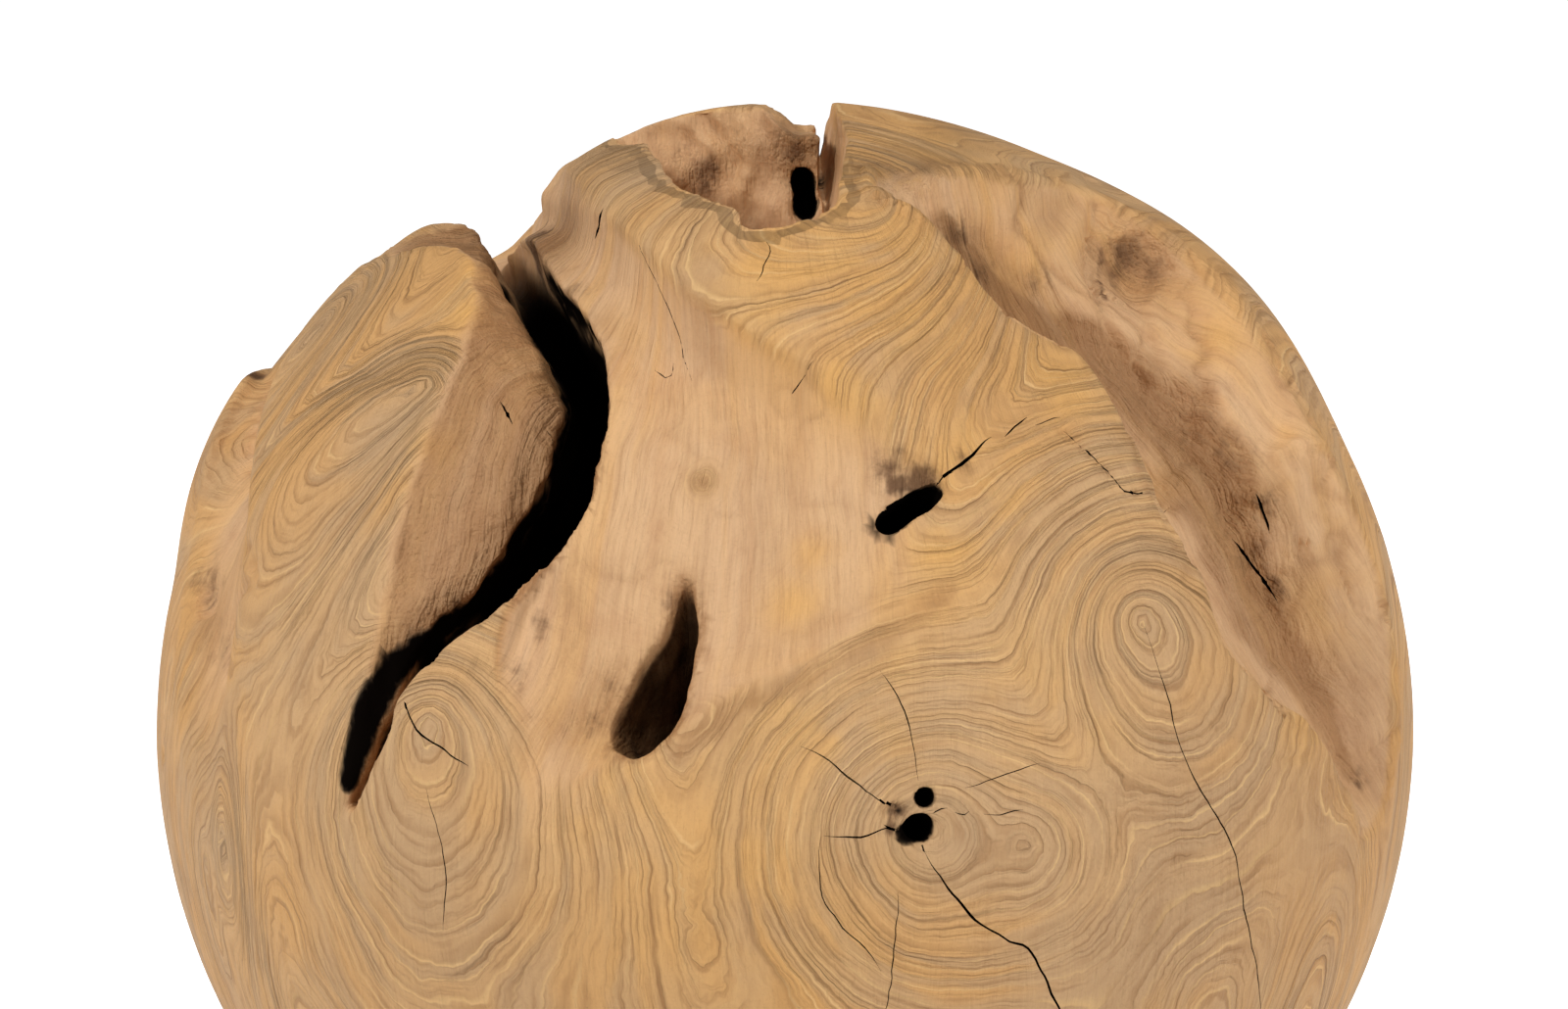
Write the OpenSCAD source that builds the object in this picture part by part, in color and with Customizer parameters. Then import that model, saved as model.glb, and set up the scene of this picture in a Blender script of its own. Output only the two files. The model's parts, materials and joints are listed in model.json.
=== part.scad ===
// Wooden ball turned from a teak root, with the root's natural fissures and hollows left open.
// Lengths are in millimetres. A place on the ball is [azimuth, elevation] in degrees:
// azimuth 0 faces the front (-Y) and grows towards the right (+X), elevation 90 is the crown.

/* [Ball] */
// Diameter of the turned ball
ball_d = 400; // [320:10:600]
// Diameter of the sanded flat that the ball stands on
foot_d = 90; // [50:5:140]

/* [Left fissure] */
// Drop of the bare wall that slopes from the left lobe down to the gap
wall_drop = 34; // [15:1:45]
// Width of the open gap under the edge of the middle arm
gap_w = 18; // [10:1:26]
// Depth of the gap below the turned surface
gap_depth = 76; // [40:1:90]

/* [Middle arm] */
// Depth of the shallow trough down the middle arm
trough_depth = 20; // [8:1:30]
// Width of the teardrop pocket in the trough
pocket_w = 24; // [12:1:30]
// Depth of the teardrop pocket
pocket_depth = 55; // [30:1:70]
// Width of the small rotten hole
hole_w = 10; // [6:1:16]
// Depth of the small rotten hole
hole_depth = 42; // [20:1:60]

// How far the arm's shoulder falls away behind
shoulder_drop = 11; // [5:1:20]

/* [Crown] */
// Depth of the hollow at the crown
crown_depth = 78; // [45:1:90]
// Width of the slot that runs from the hollow over the back
slot_w = 8; // [4:1:14]
// Depth of the slot
slot_depth = 48; // [30:1:60]

/* [Right valley] */
// Depth of the valley beside its sharp ridge
valley_depth = 42; // [15:1:50]

// Height of the swelling of the outer rim over the turned surface
rim_swell = 4.5; // [1:0.5:8]

/* [Far left sliver] */
// Depth of the groove between the left lobe and the sliver behind it
groove_depth = 9; // [4:1:14]
// Height of the swelling of the sliver over the turned surface
sliver_swell = 6; // [1:0.5:8]

/* [Knot] */
// Diameter of the larger of the two rotten cores of the big knot
core_d = 9; // [6:1:14]
// Depth of the cores
core_depth = 30; // [15:1:45]

/* [Hidden] */
wood = [0.83, 0.67, 0.47];

ball_r = ball_d / 2;
// Height of the ball's centre above the flat foot
centre_z = sqrt(ball_r * ball_r - foot_d * foot_d / 4);
// How far every cutter stands out of the ball
reach = 14;
// How far the rims of a hollow rise over the turned surface, so that its flanks cross it cleanly
rim_rise = 0.5;
// Diameters of the rounded lumps that make the two swellings
rim_lump_d = 230;
sliver_lump_d = 210;
// Rings between two rows of a route
rings_a_leg = 2;
// Where the lines along a hollow lie, as shares of the way from rim to rim
columns = [0, 0.06, 0.14, 0.24, 0.36, 0.5, 0.64, 0.77, 0.88, 0.95, 1];

// A hollow's rows: [first rim, second rim, share of the depth, share of it that is left at the first rim].
// The route runs so that the first rim is on its left.
wall_rows = [
    [[-134, 42], [-131, 38], 0.05, 0.9],
    [[-122, 51], [-113, 42], 0.3, 0.9],
    [[-107, 58], [-97, 45.5], 0.42, 0.9],
    [[-86, 62], [-79, 53], 0.45, 0.9],
    [[-61, 60], [-63, 56], 0.6, 0.9],
    [[-47, 56], [-51, 52.5], 0.8, 0.9],
    [[-34, 52], [-46.5, 47.5], 1, 0.9],
    [[-27, 46.5], [-44.7, 42.5], 1, 0.9],
    [[-24.5, 41.5], [-43.9, 37.5], 1, 0.9],
    [[-24, 36.5], [-43.1, 32.4], 1, 0.9],
    [[-25.5, 31.3], [-42.3, 28], 1, 0.9],
    [[-29, 24.7], [-41.3, 23.3], 0.85, 0.9],
    [[-33, 20.9], [-41, 19], 0.65, 0.9],
    [[-36.3, 16], [-41, 14.8], 0.45, 0.9],
    [[-37.6, 11.5], [-41.1, 10.8], 0.35, 0.9],
    [[-39.6, 7], [-41.4, 6.7], 0.25, 0.9],
    [[-41, 4], [-41.8, 3.9], 0.05, 0.9]];
trough_rows = [
    [[-22, 6], [-20, 5.5], 0.05, 0],
    [[-24, 10], [-17.5, 9], 0.35, 0],
    [[-25, 14], [-8.7, 14.4], 0.7, 0],
    [[-27, 19], [-1.8, 18.3], 0.9, 0.3],
    [[-27, 24], [7, 21.8], 1, 0.5],
    [[-25, 29], [14.5, 26.5], 1, 0.6],
    [[-23.5, 34], [16.3, 32], 1, 0.6],
    [[-23, 39], [15, 37.5], 1, 0.6],
    [[-24, 45], [8, 45], 1, 0.65],
    [[-32, 51.5], [-5.7, 52.6], 1, 0.75],
    [[-45, 56], [-20, 59], 0.95, 0.85],
    [[-60, 60], [-46, 67], 0.9, 0.9],
    [[-82, 62], [-82, 69.5], 1, 1],
    [[-105, 57.5], [-115, 67.5], 1.25, 1],
    [[-120, 51], [-132, 60], 1.2, 1],
    [[-130, 45], [-139, 51], 0.7, 1],
    [[-138, 41], [-141, 44], 0.1, 1]];
valley_rows = [
    [[63, -2], [66, -3], 0.05, 0.5],
    [[58.5, 3.9], [70, 1], 0.3, 0.5],
    [[54.2, 9.3], [73, 6], 0.5, 0.5],
    [[49.3, 13.7], [75, 11], 0.65, 0.5],
    [[44.4, 19.8], [75.5, 17], 0.8, 0.5],
    [[42.7, 25.3], [76, 24], 0.95, 0.5],
    [[42, 31.6], [77, 32], 1, 0.5],
    [[41.5, 39.3], [80, 41], 1, 0.5],
    [[40.3, 47.1], [83, 50], 1, 0.5],
    [[35.6, 50.9], [84, 56], 0.9, 0.5],
    [[31.6, 56], [82, 62], 0.75, 0.5],
    [[30, 64], [65, 68], 0.45, 0.5],
    [[22, 70], [28, 73], 0.1, 0.5]];
shoulder_rows = [
    [[-62, 60], [-38, 68], 0.1, 0],
    [[-84, 61], [-76, 78], 0.5, 0.8],
    [[-104, 58], [-125, 84], 0.9, 0.9],
    [[-120, 52], [177, 82], 1, 0.9],
    [[-132, 44], [-178, 72], 0.9, 0.7],
    [[-142, 39], [-173, 60], 0.5, 0.5],
    [[-150, 38], [-166, 48], 0.12, 0]];
groove_rows = [
    [[-66, 0], [-61, 1], 0.1, 0],
    [[-72, 8], [-60, 9], 0.6, 0],
    [[-78, 17], [-61, 17], 0.9, 0],
    [[-84, 25], [-66, 25], 1, 0],
    [[-92, 31], [-74, 31], 1, 0],
    [[-100, 37], [-86, 37], 0.7, 0],
    [[-104, 44], [-98, 43], 0.1, 0]];

// A fissure's rows: [mouth, root, share of the width, share of the depth]
gap_rows = [
    [[-139, 40], [-138, 38], 0.25, 0.12],
    [[-129, 47], [-127, 43], 0.7, 0.28],
    [[-118, 53], [-118, 49], 0.85, 0.4],
    [[-106, 58], [-108, 55], 0.85, 0.46],
    [[-84, 62], [-88, 60], 0.8, 0.55],
    [[-61, 59.8], [-78, 60], 0.9, 0.75],
    [[-47, 56.2], [-70, 60], 1, 0.9],
    [[-33.5, 51.5], [-57, 58], 1, 1],
    [[-27, 46], [-48, 53.5], 1, 1],
    [[-25, 41.3], [-44, 48], 1, 1],
    [[-24.5, 36.3], [-41, 42.5], 1, 1],
    [[-26, 31], [-41, 36], 1, 0.97],
    [[-30, 24.5], [-40, 27], 0.75, 0.8],
    [[-34, 20.5], [-40, 21], 0.5, 0.55],
    [[-37.2, 15.5], [-40, 15], 0.3, 0.35],
    [[-39, 10], [-40.5, 9.7], 0.25, 0.22],
    [[-41, 4.5], [-41.5, 4.5], 0.15, 0.08]];
pocket_rows = [
    [[-10.8, 29.5], [-9.5, 28], 0.12, 0.3],
    [[-11.8, 25], [-9, 23], 0.35, 0.7],
    [[-12.7, 20.5], [-8, 17.5], 0.65, 1],
    [[-13.5, 16.5], [-8.5, 12.5], 1, 1],
    [[-14.3, 13.5], [-11, 9.5], 0.85, 0.8],
    [[-14.6, 12.2], [-13, 10], 0.4, 0.45]];
hole_rows = [
    [[9, 32.3], [10.5, 33.5], 0.5, 0.6],
    [[10.5, 33.3], [11.5, 33.8], 1, 1],
    [[13, 34.8], [13, 34.5], 1, 1],
    [[15.5, 36], [14, 35], 0.5, 0.6]];
slot_rows = [
    [[4, 66], [2, 62], 1, 1.1],
    [[12, 73], [8, 68], 1.1, 1.2],
    [[33, 82], [30, 80], 0.8, 1],
    [[147, 83.5], [147, 83.5], 0.7, 1],
    [[166, 72], [166, 72], 0.8, 0.95],
    [[173, 60], [173, 58], 0.8, 0.8],
    [[177, 48], [177, 45], 0.6, 0.5],
    [[179, 39], [179, 38], 0.3, 0.12]];

// Outline of the hollow at the crown, as tilts [to the right, to the back] from the ball's axis
crown_outline = [
    [-16.6, -2.3], [-15.1, -8], [-10.7, -14.5], [-5.7, -19.3], [-2.6, -24.8], [1.1, -23.6],
    [4, -21.7], [4.6, -14.5], [4.3, -2.3], [-1.7, 1.7], [-8.6, 3.4], [-14.5, 1.7]];
// Tilt of the point that the crown hollow narrows towards
crown_heart = [-1.7, -9.8];
// Levels of the crown hollow: [scale of the outline, share of the depth]
crown_levels = [[1.12, -0.4], [0.97, 0.12], [0.89, 0.42], [0.7, 0.72], [0.42, 0.93], [0.15, 1]];

// The two cores of the big knot: [place, share of the diameter]
cores = [[[11.4, 6.2], 1], [[12.1, 8.9], 0.65]];

function towards(place) =
    [sin(place[0]) * cos(place[1]), -cos(place[0]) * cos(place[1]), sin(place[1])];

function unit(v) = v / norm(v);

// Direction part of the way along the arc from one direction to another
function between(a, b, share) =
    let (angle = acos(a * b))
    (a * sin((1 - share) * angle) + b * sin(share * angle)) / sin(angle);

// Catmull-Rom curve through rows of plain numbers
function curve_row(a, b, c, d, t) =
    (2 * b + t * (c - a) + t * t * (2 * a - 5 * b + 4 * c - d) + t * t * t * (3 * b - a - 3 * c + d)) / 2;

function smoothed(rows) =
    let (last = len(rows) - 1)
    concat(
        [for (i = [0:last - 1]) for (k = [0:rings_a_leg - 1])
            curve_row(rows[max(i - 1, 0)], rows[i], rows[i + 1], rows[min(i + 2, last)], k / rings_a_leg)],
        [rows[last]]);

// The rows with both places as directions, smoothed: [first, second, share, share]
function route(rows) =
    [for (row = smoothed([for (r = rows) concat(towards(r[0]), towards(r[1]), r[2], r[3])]))
        [unit([row[0], row[1], row[2]]), unit([row[3], row[4], row[5]]), row[6], row[7]]];

// Point in the middle of a ring
function middle(ring) = [for (p = ring) 1] * ring / len(ring);

// Closed skin over a row of rings with equal counts of points. Each end fans out from its middle.
module loft(rings) {
    n = len(rings[0]);
    last = len(rings) - 1;
    start = n * (last + 1);
    sides = [for (j = [0:last - 1]) for (i = [0:n - 1])
        let (k = (i + 1) % n)
        for (face = [[j * n + i, j * n + k, (j + 1) * n + k], [j * n + i, (j + 1) * n + k, (j + 1) * n + i]]) face];
    ends = [for (i = [0:n - 1])
        let (k = (i + 1) % n)
        for (face = [[start, k, i], [start + 1, last * n + i, last * n + k]]) face];
    points = concat([for (ring = rings) for (p = ring) p], [middle(rings[0]), middle(rings[last])]);
    polyhedron(points, concat(sides, ends), convexity = 10);
}

// Open hollow between two rims. Each flank falls over its run, a share of the width.
module hollow(rows, depth, first_run, second_run) {
    loft([for (row = route(rows))
        concat(
            [for (share = columns)
                let (first = row[3] + (1 - row[3]) * sin(90 * min(share / first_run, 1)),
                     second = sin(90 * min((1 - share) / second_run, 1)))
                between(row[0], row[1], share) * (ball_r + rim_rise - depth * row[2] * first * second)],
            [for (share = [1, 0.75, 0.5, 0.25, 0]) between(row[0], row[1], share) * (ball_r + reach)])]);
}

// Deep fissure that narrows from its mouth down to its root
module fissure(rows, width, depth) {
    stations = route(rows);
    last = len(stations) - 1;
    mouths = [for (row = stations) row[0] * ball_r];
    loft([for (i = [0:last])
        let (down = stations[i][1] * (ball_r - depth * stations[i][3]) - mouths[i],
             along = mouths[min(i + 1, last)] - mouths[max(i - 1, 0)],
             across = unit(cross(along, down)) * width / 2 * stations[i][2])
        concat(
            [mouths[i] + across * 1.1 - unit(down) * reach],
            [for (angle = [0:22.5:180]) mouths[i] + across * cos(angle) + down * sin(angle)],
            [mouths[i] - across * 1.1 - unit(down) * reach])]);
}

module crown_hollow() {
    loft([for (level = crown_levels)
        [for (tilt = crown_outline)
            let (scaled = crown_heart + (tilt - crown_heart) * level[0],
                 right = ball_r * sin(scaled[0]),
                 back = ball_r * sin(scaled[1]))
            [right, back, sqrt(ball_r * ball_r - right * right - back * back) - level[1] * crown_depth]]]);
}

// Rotten core that runs straight in from the surface
module core(place, d) {
    rotate([0, 90 - place[1], place[0] - 90])
        translate([0, 0, ball_r - core_depth])
            cylinder(h = core_depth + reach, d1 = d / 2, d2 = d, $fn = 24);
}

// Rounded lump of the ball that stands over the turned surface by a given height
module swelling(place, height, d) {
    translate(towards(place) * (ball_r + height - d / 2))
        sphere(d = d, $fn = 120);
}

module ball() {
    color(wood)
        translate([0, 0, centre_z])
            difference() {
                union() {
                    sphere(ball_r, $fn = 120);
                    swelling([98, 47], rim_swell, rim_lump_d);
                    swelling([-95, 29], sliver_swell, sliver_lump_d);
                }
                translate([0, 0, -centre_z - ball_r])
                    cube(2 * ball_r, center = true);
                hollow(wall_rows, wall_drop, 0.1, 1);
                hollow(trough_rows, trough_depth, 0.3, 0.5);
                hollow(shoulder_rows, shoulder_drop, 0.2, 1);
                hollow(valley_rows, valley_depth, 0.15, 0.6);
                hollow(groove_rows, groove_depth, 0.5, 0.5);
                fissure(gap_rows, gap_w, gap_depth);
                fissure(pocket_rows, pocket_w, pocket_depth);
                fissure(hole_rows, hole_w, hole_depth);
                fissure(slot_rows, slot_w, slot_depth);
                crown_hollow();
                for (c = cores)
                    core(c[0], core_d * c[1]);
            }
}

ball();
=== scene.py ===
# %% [markdown]
# # A ball turned from a teak root
# A teak root ball is rough-turned while it is wet, so only its high places meet the turning
# tool. Between them the root's own fissures and hollows stay open, smooth and fibrous. This
# lesson builds the ball as one piece of wood: its shape is carved out of a field of distances,
# and its rings, fibres, cracks and stains are laid over that shape.

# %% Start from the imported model
import json
import math

import bpy
import numpy as np
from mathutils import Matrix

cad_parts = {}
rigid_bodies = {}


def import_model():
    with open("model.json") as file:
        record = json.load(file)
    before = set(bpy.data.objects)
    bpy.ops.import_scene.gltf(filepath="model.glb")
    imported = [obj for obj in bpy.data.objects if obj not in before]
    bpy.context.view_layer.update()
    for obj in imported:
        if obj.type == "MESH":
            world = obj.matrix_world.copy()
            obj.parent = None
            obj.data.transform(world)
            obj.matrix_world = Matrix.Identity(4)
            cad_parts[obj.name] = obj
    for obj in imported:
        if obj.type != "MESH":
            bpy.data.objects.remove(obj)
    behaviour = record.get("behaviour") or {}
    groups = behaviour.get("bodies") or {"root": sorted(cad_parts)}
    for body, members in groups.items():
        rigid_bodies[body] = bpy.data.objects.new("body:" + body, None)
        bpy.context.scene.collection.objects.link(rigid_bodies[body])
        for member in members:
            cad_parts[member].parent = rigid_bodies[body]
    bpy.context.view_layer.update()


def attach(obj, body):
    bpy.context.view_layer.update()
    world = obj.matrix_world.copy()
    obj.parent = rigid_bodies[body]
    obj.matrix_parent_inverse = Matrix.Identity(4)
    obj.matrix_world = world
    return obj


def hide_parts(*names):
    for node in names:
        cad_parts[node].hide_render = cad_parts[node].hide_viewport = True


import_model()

import openvdb as vdb
from mathutils import Vector
from mathutils.bvhtree import BVHTree

# %% [markdown]
# ## The ball's own measures
# All the shaping is done in millimetres about the ball's centre, as a turner would measure it.
# A place on the ball is an azimuth and an elevation: azimuth 0 faces the front and grows to the
# right, and elevation 90 is the crown.

# %% Measures and places
MM = 0.001
BALL_R = 200.0
FOOT_D = 90.0
CENTRE_Z = math.sqrt(BALL_R**2 - FOOT_D**2 / 4)
# How far a cutter stands out of the wood, and how far a hollow's rims start above its skin.
REACH = 14.0
RIM_RISE = 0.5


def toward(azimuth, elevation):
    """Unit vectors that point from the ball's centre to places on it."""
    a, e = np.radians(azimuth), np.radians(elevation)
    return np.stack([np.sin(a) * np.cos(e), -np.cos(a) * np.cos(e), np.sin(e)], axis=-1)


def unit(v):
    return v / np.linalg.norm(v, axis=-1, keepdims=True)


print("centre of the ball stands", round(CENTRE_Z, 3), "mm over the foot")

# %% [markdown]
# ## The camera
# The camera looks a little down on the ball and holds only its upper part, so the lens is
# shifted upwards instead of the camera being tilted. It is made first, because later steps lay
# small marks on the wood along lines of sight.

# %% Camera
VIEW_SIZE = (1600, 1030)
CAMERA_TILT = 15.0
CAMERA_DISTANCE = 2400.0
LENS = 172.74
SENSOR = 36.0
SHIFT = (-1 / VIEW_SIZE[0], 229 / VIEW_SIZE[0])

camera = bpy.data.objects.new("camera", bpy.data.cameras.new("camera"))
bpy.context.collection.objects.link(camera)
camera.data.lens = LENS
camera.data.sensor_width = SENSOR
camera.data.shift_x, camera.data.shift_y = SHIFT
camera_back = toward(0.0, CAMERA_TILT)
camera.location = Vector(camera_back * CAMERA_DISTANCE * MM) + Vector((0, 0, CENTRE_Z * MM))
camera.rotation_euler = Vector(camera_back).to_track_quat("Z", "Y").to_euler()
bpy.context.scene.camera = camera

camera_at = camera_back * CAMERA_DISTANCE
camera_right = np.array([1.0, 0.0, 0.0])
camera_up = np.cross(camera_back, camera_right)
pixels_a_slope = LENS / SENSOR * VIEW_SIZE[0]


def line_of_sight(x, y):
    """Direction from the camera through a point of its 1600 by 1030 frame."""
    right = (x - VIEW_SIZE[0] / 2 + SHIFT[0] * VIEW_SIZE[0]) / pixels_a_slope
    up = (VIEW_SIZE[1] / 2 - y + SHIFT[1] * VIEW_SIZE[0]) / pixels_a_slope
    return unit(camera_right * right + camera_up * up - camera_back)


print("camera at", [round(v, 3) for v in camera.location])

# %% [markdown]
# ## Routes
# A hollow or a fissure runs along the root, so each is described by a few rows across its route,
# and a smooth curve fills in the rows between. This is how a boat's hull is lofted from a few
# ribs, and it keeps every long natural line in a handful of numbers.

# %% Routes and skins
def smoothed(rows, legs):
    """Catmull-Rom curve through rows of numbers, with a number of rows a leg."""
    rows = np.asarray(rows, float)
    padded = np.concatenate([rows[:1], rows, rows[-1:]])
    t = (np.arange(legs) / legs)[:, None]
    out = []
    for a, b, c, d in zip(padded, padded[1:], padded[2:], padded[3:]):
        out.append((2 * b + t * (c - a) + t**2 * (2 * a - 5 * b + 4 * c - d)
                    + t**3 * (3 * b - a - 3 * c + d)) / 2)
    return np.concatenate(out + [rows[-1:]])


def route(rows, legs=8):
    """Smoothed rows as two sets of directions and two shares."""
    flat = smoothed([[*toward(a, b), *toward(c, d), *shares] for a, b, c, d, *shares in rows], legs)
    return unit(flat[:, 0:3]), unit(flat[:, 3:6]), flat[:, 6], flat[:, 7]


def skin(rings):
    """Points and triangles of the closed skin over rings of equal counts."""
    count, around = rings.shape[:2]
    points = np.concatenate([rings.reshape(-1, 3), rings[:1].mean(1), rings[-1:].mean(1)])
    i = np.arange(around)
    k = (i + 1) % around
    faces = []
    for j in range(count - 1):
        here, there = j * around, (j + 1) * around
        faces.append(np.stack([here + i, here + k, there + k], 1))
        faces.append(np.stack([here + i, there + k, there + i], 1))
    start, last = count * around, (count - 1) * around
    faces.append(np.stack([np.full(around, start), k, i], 1))
    faces.append(np.stack([np.full(around, start + 1), last + i, last + k], 1))
    return points, np.concatenate(faces)


# %% Cutter of an open hollow
COLUMNS = np.sin(np.linspace(0, 90, 22) * np.pi / 180) ** 2
OUTSIDE = np.linspace(1, 0, 9)


def arc(first, second, shares):
    """Directions along the arcs from first to second."""
    angle = np.arccos(np.clip((first * second).sum(-1), -1, 1))[:, None, None]
    s = shares[None, :, None]
    return (first[:, None] * np.sin((1 - s) * angle)
            + second[:, None] * np.sin(s * angle)) / np.sin(angle)


def hollow(rows, depth, first_run, second_run):
    """Hollow between two rims, whose flanks fall over their runs, shares of the width."""
    first, second, share, left = route(rows)
    fall = (left[:, None] + (1 - left[:, None])
            * np.sin(np.pi / 2 * np.minimum(COLUMNS / first_run, 1)))
    rise = np.sin(np.pi / 2 * np.minimum((1 - COLUMNS) / second_run, 1))
    floor = BALL_R + RIM_RISE - depth * share[:, None] * fall * rise
    inner = arc(first, second, COLUMNS) * floor[:, :, None]
    outer = arc(first, second, OUTSIDE) * (BALL_R + REACH)
    return skin(np.concatenate([inner, outer], 1))


print("an open hollow has", len(COLUMNS) + len(OUTSIDE), "points a rib")

# %% Cutter of a deep fissure
BOWL_POINTS = 15
LIP_SPREAD = 1.1


def fissure(rows, width, depth):
    """Fissure that narrows from its mouth to its root. A row is mouth, root, shares."""
    mouth, root, wide, deep = route(rows)
    mouths = mouth * BALL_R
    down = root * (BALL_R - depth * deep)[:, None] - mouths
    along = np.gradient(mouths, axis=0)
    across = unit(np.cross(along, down)) * (width / 2 * wide)[:, None]
    lift = unit(down) * REACH
    turn = np.linspace(0, np.pi, BOWL_POINTS)[None, :, None]
    bowl = mouths[:, None] + across[:, None] * np.cos(turn) + down[:, None] * np.sin(turn)
    first, second = mouths + across * LIP_SPREAD - lift, mouths - across * LIP_SPREAD - lift
    return skin(np.concatenate([first[:, None], bowl, second[:, None]], 1))


print("a fissure has", BOWL_POINTS + 2, "points a rib")

# %% [markdown]
# ## The places of the hollows and fissures
# The wall, the valley and the groove have the solid model's own rows, and the trough and the
# shoulder differ from it in a few numbers. A row holds the azimuth and elevation of the hollow's
# first rim and of its second rim, the share of its depth, and the share of that which is left at
# the first rim. Before the rows stands the full depth in mm.

# %% Rows of the hollows
WALL_DROP = 34
WALL = [
    (-134, 42, -131, 38, 0.05, 0.9), (-122, 51, -113, 42, 0.3, 0.9),
    (-107, 58, -97, 45.5, 0.42, 0.9), (-86, 62, -79, 53, 0.45, 0.9), (-61, 60, -63, 56, 0.6, 0.9),
    (-47, 56, -51, 52.5, 0.8, 0.9), (-34, 52, -46.5, 47.5, 1, 0.9),
    (-27, 46.5, -44.7, 42.5, 1, 0.9), (-24.5, 41.5, -43.9, 37.5, 1, 0.9),
    (-24, 36.5, -43.1, 32.4, 1, 0.9), (-25.5, 31.3, -42.3, 28, 1, 0.9),
    (-29, 24.7, -41.3, 23.3, 0.85, 0.9), (-33, 20.9, -41, 19, 0.65, 0.9),
    (-36.3, 16, -41, 14.8, 0.45, 0.9), (-37.6, 11.5, -41.1, 10.8, 0.35, 0.9),
    (-39.6, 7, -41.4, 6.7, 0.25, 0.9), (-41, 4, -41.8, 3.9, 0.05, 0.9)]
TROUGH_DEPTH = 20
TROUGH = [
    (-22, 6, -20, 5.5, 0.05, 0), (-24, 10, -17.5, 9, 0.35, 0), (-25, 14, -8.7, 14.4, 0.7, 0),
    (-27, 19, -1.8, 18.3, 0.9, 0.3), (-27, 24, 7, 21.8, 1, 0.5), (-25, 29, 14.5, 26.5, 1, 0.6),
    (-23.5, 34, 16.3, 32, 1, 0.6), (-23, 39, 15, 37.5, 1, 0.6), (-24, 45, 8, 45, 1, 0.65),
    (-32, 51.5, -5.7, 52.6, 1, 0.75), (-45, 56, -20, 59, 0.95, 0.85), (-60, 60, -46, 67, 0.9, 0.9),
    (-82, 62, -82, 69.5, 1, 1), (-105, 57.5, -115, 67.5, 1.25, 1), (-120, 51, -132, 60, 1.3, 1),
    (-130, 44, -139, 52, 0.95, 1), (-138, 41, -141, 44, 0.1, 1)]
VALLEY_DEPTH = 42
VALLEY = [
    (63, -2, 66, -3, 0.05, 0.5), (58.5, 3.9, 70, 1, 0.3, 0.5), (54.2, 9.3, 73, 6, 0.5, 0.5),
    (49.3, 13.7, 75, 11, 0.65, 0.5), (44.4, 19.8, 75.5, 17, 0.8, 0.5),
    (42.7, 25.3, 76, 24, 0.95, 0.5), (42, 31.6, 77, 32, 1, 0.5), (41.5, 39.3, 80, 41, 1, 0.5),
    (40.3, 47.1, 83, 50, 1, 0.5), (35.6, 50.9, 84, 56, 0.9, 0.5), (31.6, 56, 82, 62, 0.75, 0.5),
    (30, 64, 65, 68, 0.45, 0.5), (22, 70, 28, 73, 0.1, 0.5)]
SHOULDER_DROP = 11
SHOULDER = [
    (-62, 60, -48, 66, 0.1, 0), (-84, 61, -84, 74, 0.7, 0.9), (-104, 58, -123, 80.8, 0.95, 0.9),
    (-120, 52, 177, 82, 1, 0.9), (-132, 44, -178, 72, 0.9, 0.7), (-142, 39, -173, 60, 0.5, 0.5),
    (-150, 38, -166, 48, 0.12, 0)]
GROOVE_DEPTH = 9
GROOVE = [
    (-66, 0, -61, 1, 0.1, 0), (-72, 8, -60, 9, 0.6, 0), (-78, 17, -61, 17, 0.9, 0),
    (-84, 25, -66, 25, 1, 0), (-92, 31, -74, 31, 1, 0), (-100, 37, -86, 37, 0.7, 0),
    (-104, 44, -98, 43, 0.1, 0)]

print("full depths:", WALL_DROP, TROUGH_DEPTH, VALLEY_DEPTH, SHOULDER_DROP, GROOVE_DEPTH, "mm")

# %% [markdown]
# A row of a fissure holds the azimuth and elevation of its mouth and of its root, and the shares
# of its full width and depth, which stand before the rows in mm. The gap is the solid model's
# own, and the others are drawn closer to the wood than there. The crown hollow is an outline in
# tilts from the upright, in degrees, which shrinks towards its heart as it goes down.

# %% Rows of the fissures
GAP_W, GAP_DEPTH = 18, 76
GAP = [
    (-139, 40, -138, 38, 0.25, 0.12), (-129, 47, -127, 43, 0.7, 0.28),
    (-118, 53, -118, 49, 0.85, 0.4), (-106, 58, -108, 55, 0.85, 0.46),
    (-84, 62, -88, 60, 0.8, 0.55), (-61, 59.8, -78, 60, 0.9, 0.75), (-47, 56.2, -70, 60, 1, 0.9),
    (-33.5, 51.5, -57, 58, 1, 1), (-27, 46, -48, 53.5, 1, 1), (-25, 41.3, -44, 48, 1, 1),
    (-24.5, 36.3, -41, 42.5, 1, 1), (-26, 31, -41, 36, 1, 0.97), (-30, 24.5, -40, 27, 0.75, 0.8),
    (-34, 20.5, -40, 21, 0.5, 0.55), (-37.2, 15.5, -40, 15, 0.3, 0.35),
    (-39, 10, -40.5, 9.7, 0.25, 0.22), (-41, 4.5, -41.5, 4.5, 0.15, 0.08)]
POCKET_W, POCKET_DEPTH = 24, 55
POCKET = [
    (-10.9, 30, -10.4, 29, 0.2, 0.35), (-11.3, 26, -10.6, 24, 0.42, 0.75),
    (-12.2, 21.5, -10.6, 18.5, 0.66, 1), (-13.2, 17.5, -11, 13.5, 0.84, 1),
    (-14.2, 14.6, -12.4, 10.8, 0.74, 0.8), (-14.8, 13, -13.8, 11.2, 0.4, 0.45)]
HOLE_W, HOLE_DEPTH = 6.8, 42
HOLE = [
    (10.1, 32.8, 10.7, 33.6, 0.55, 0.6), (11.6, 33.6, 12, 34, 1, 1), (14.4, 34.8, 14, 34.8, 1, 1),
    (16.8, 35.8, 15.5, 35.6, 0.55, 0.6)]
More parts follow.
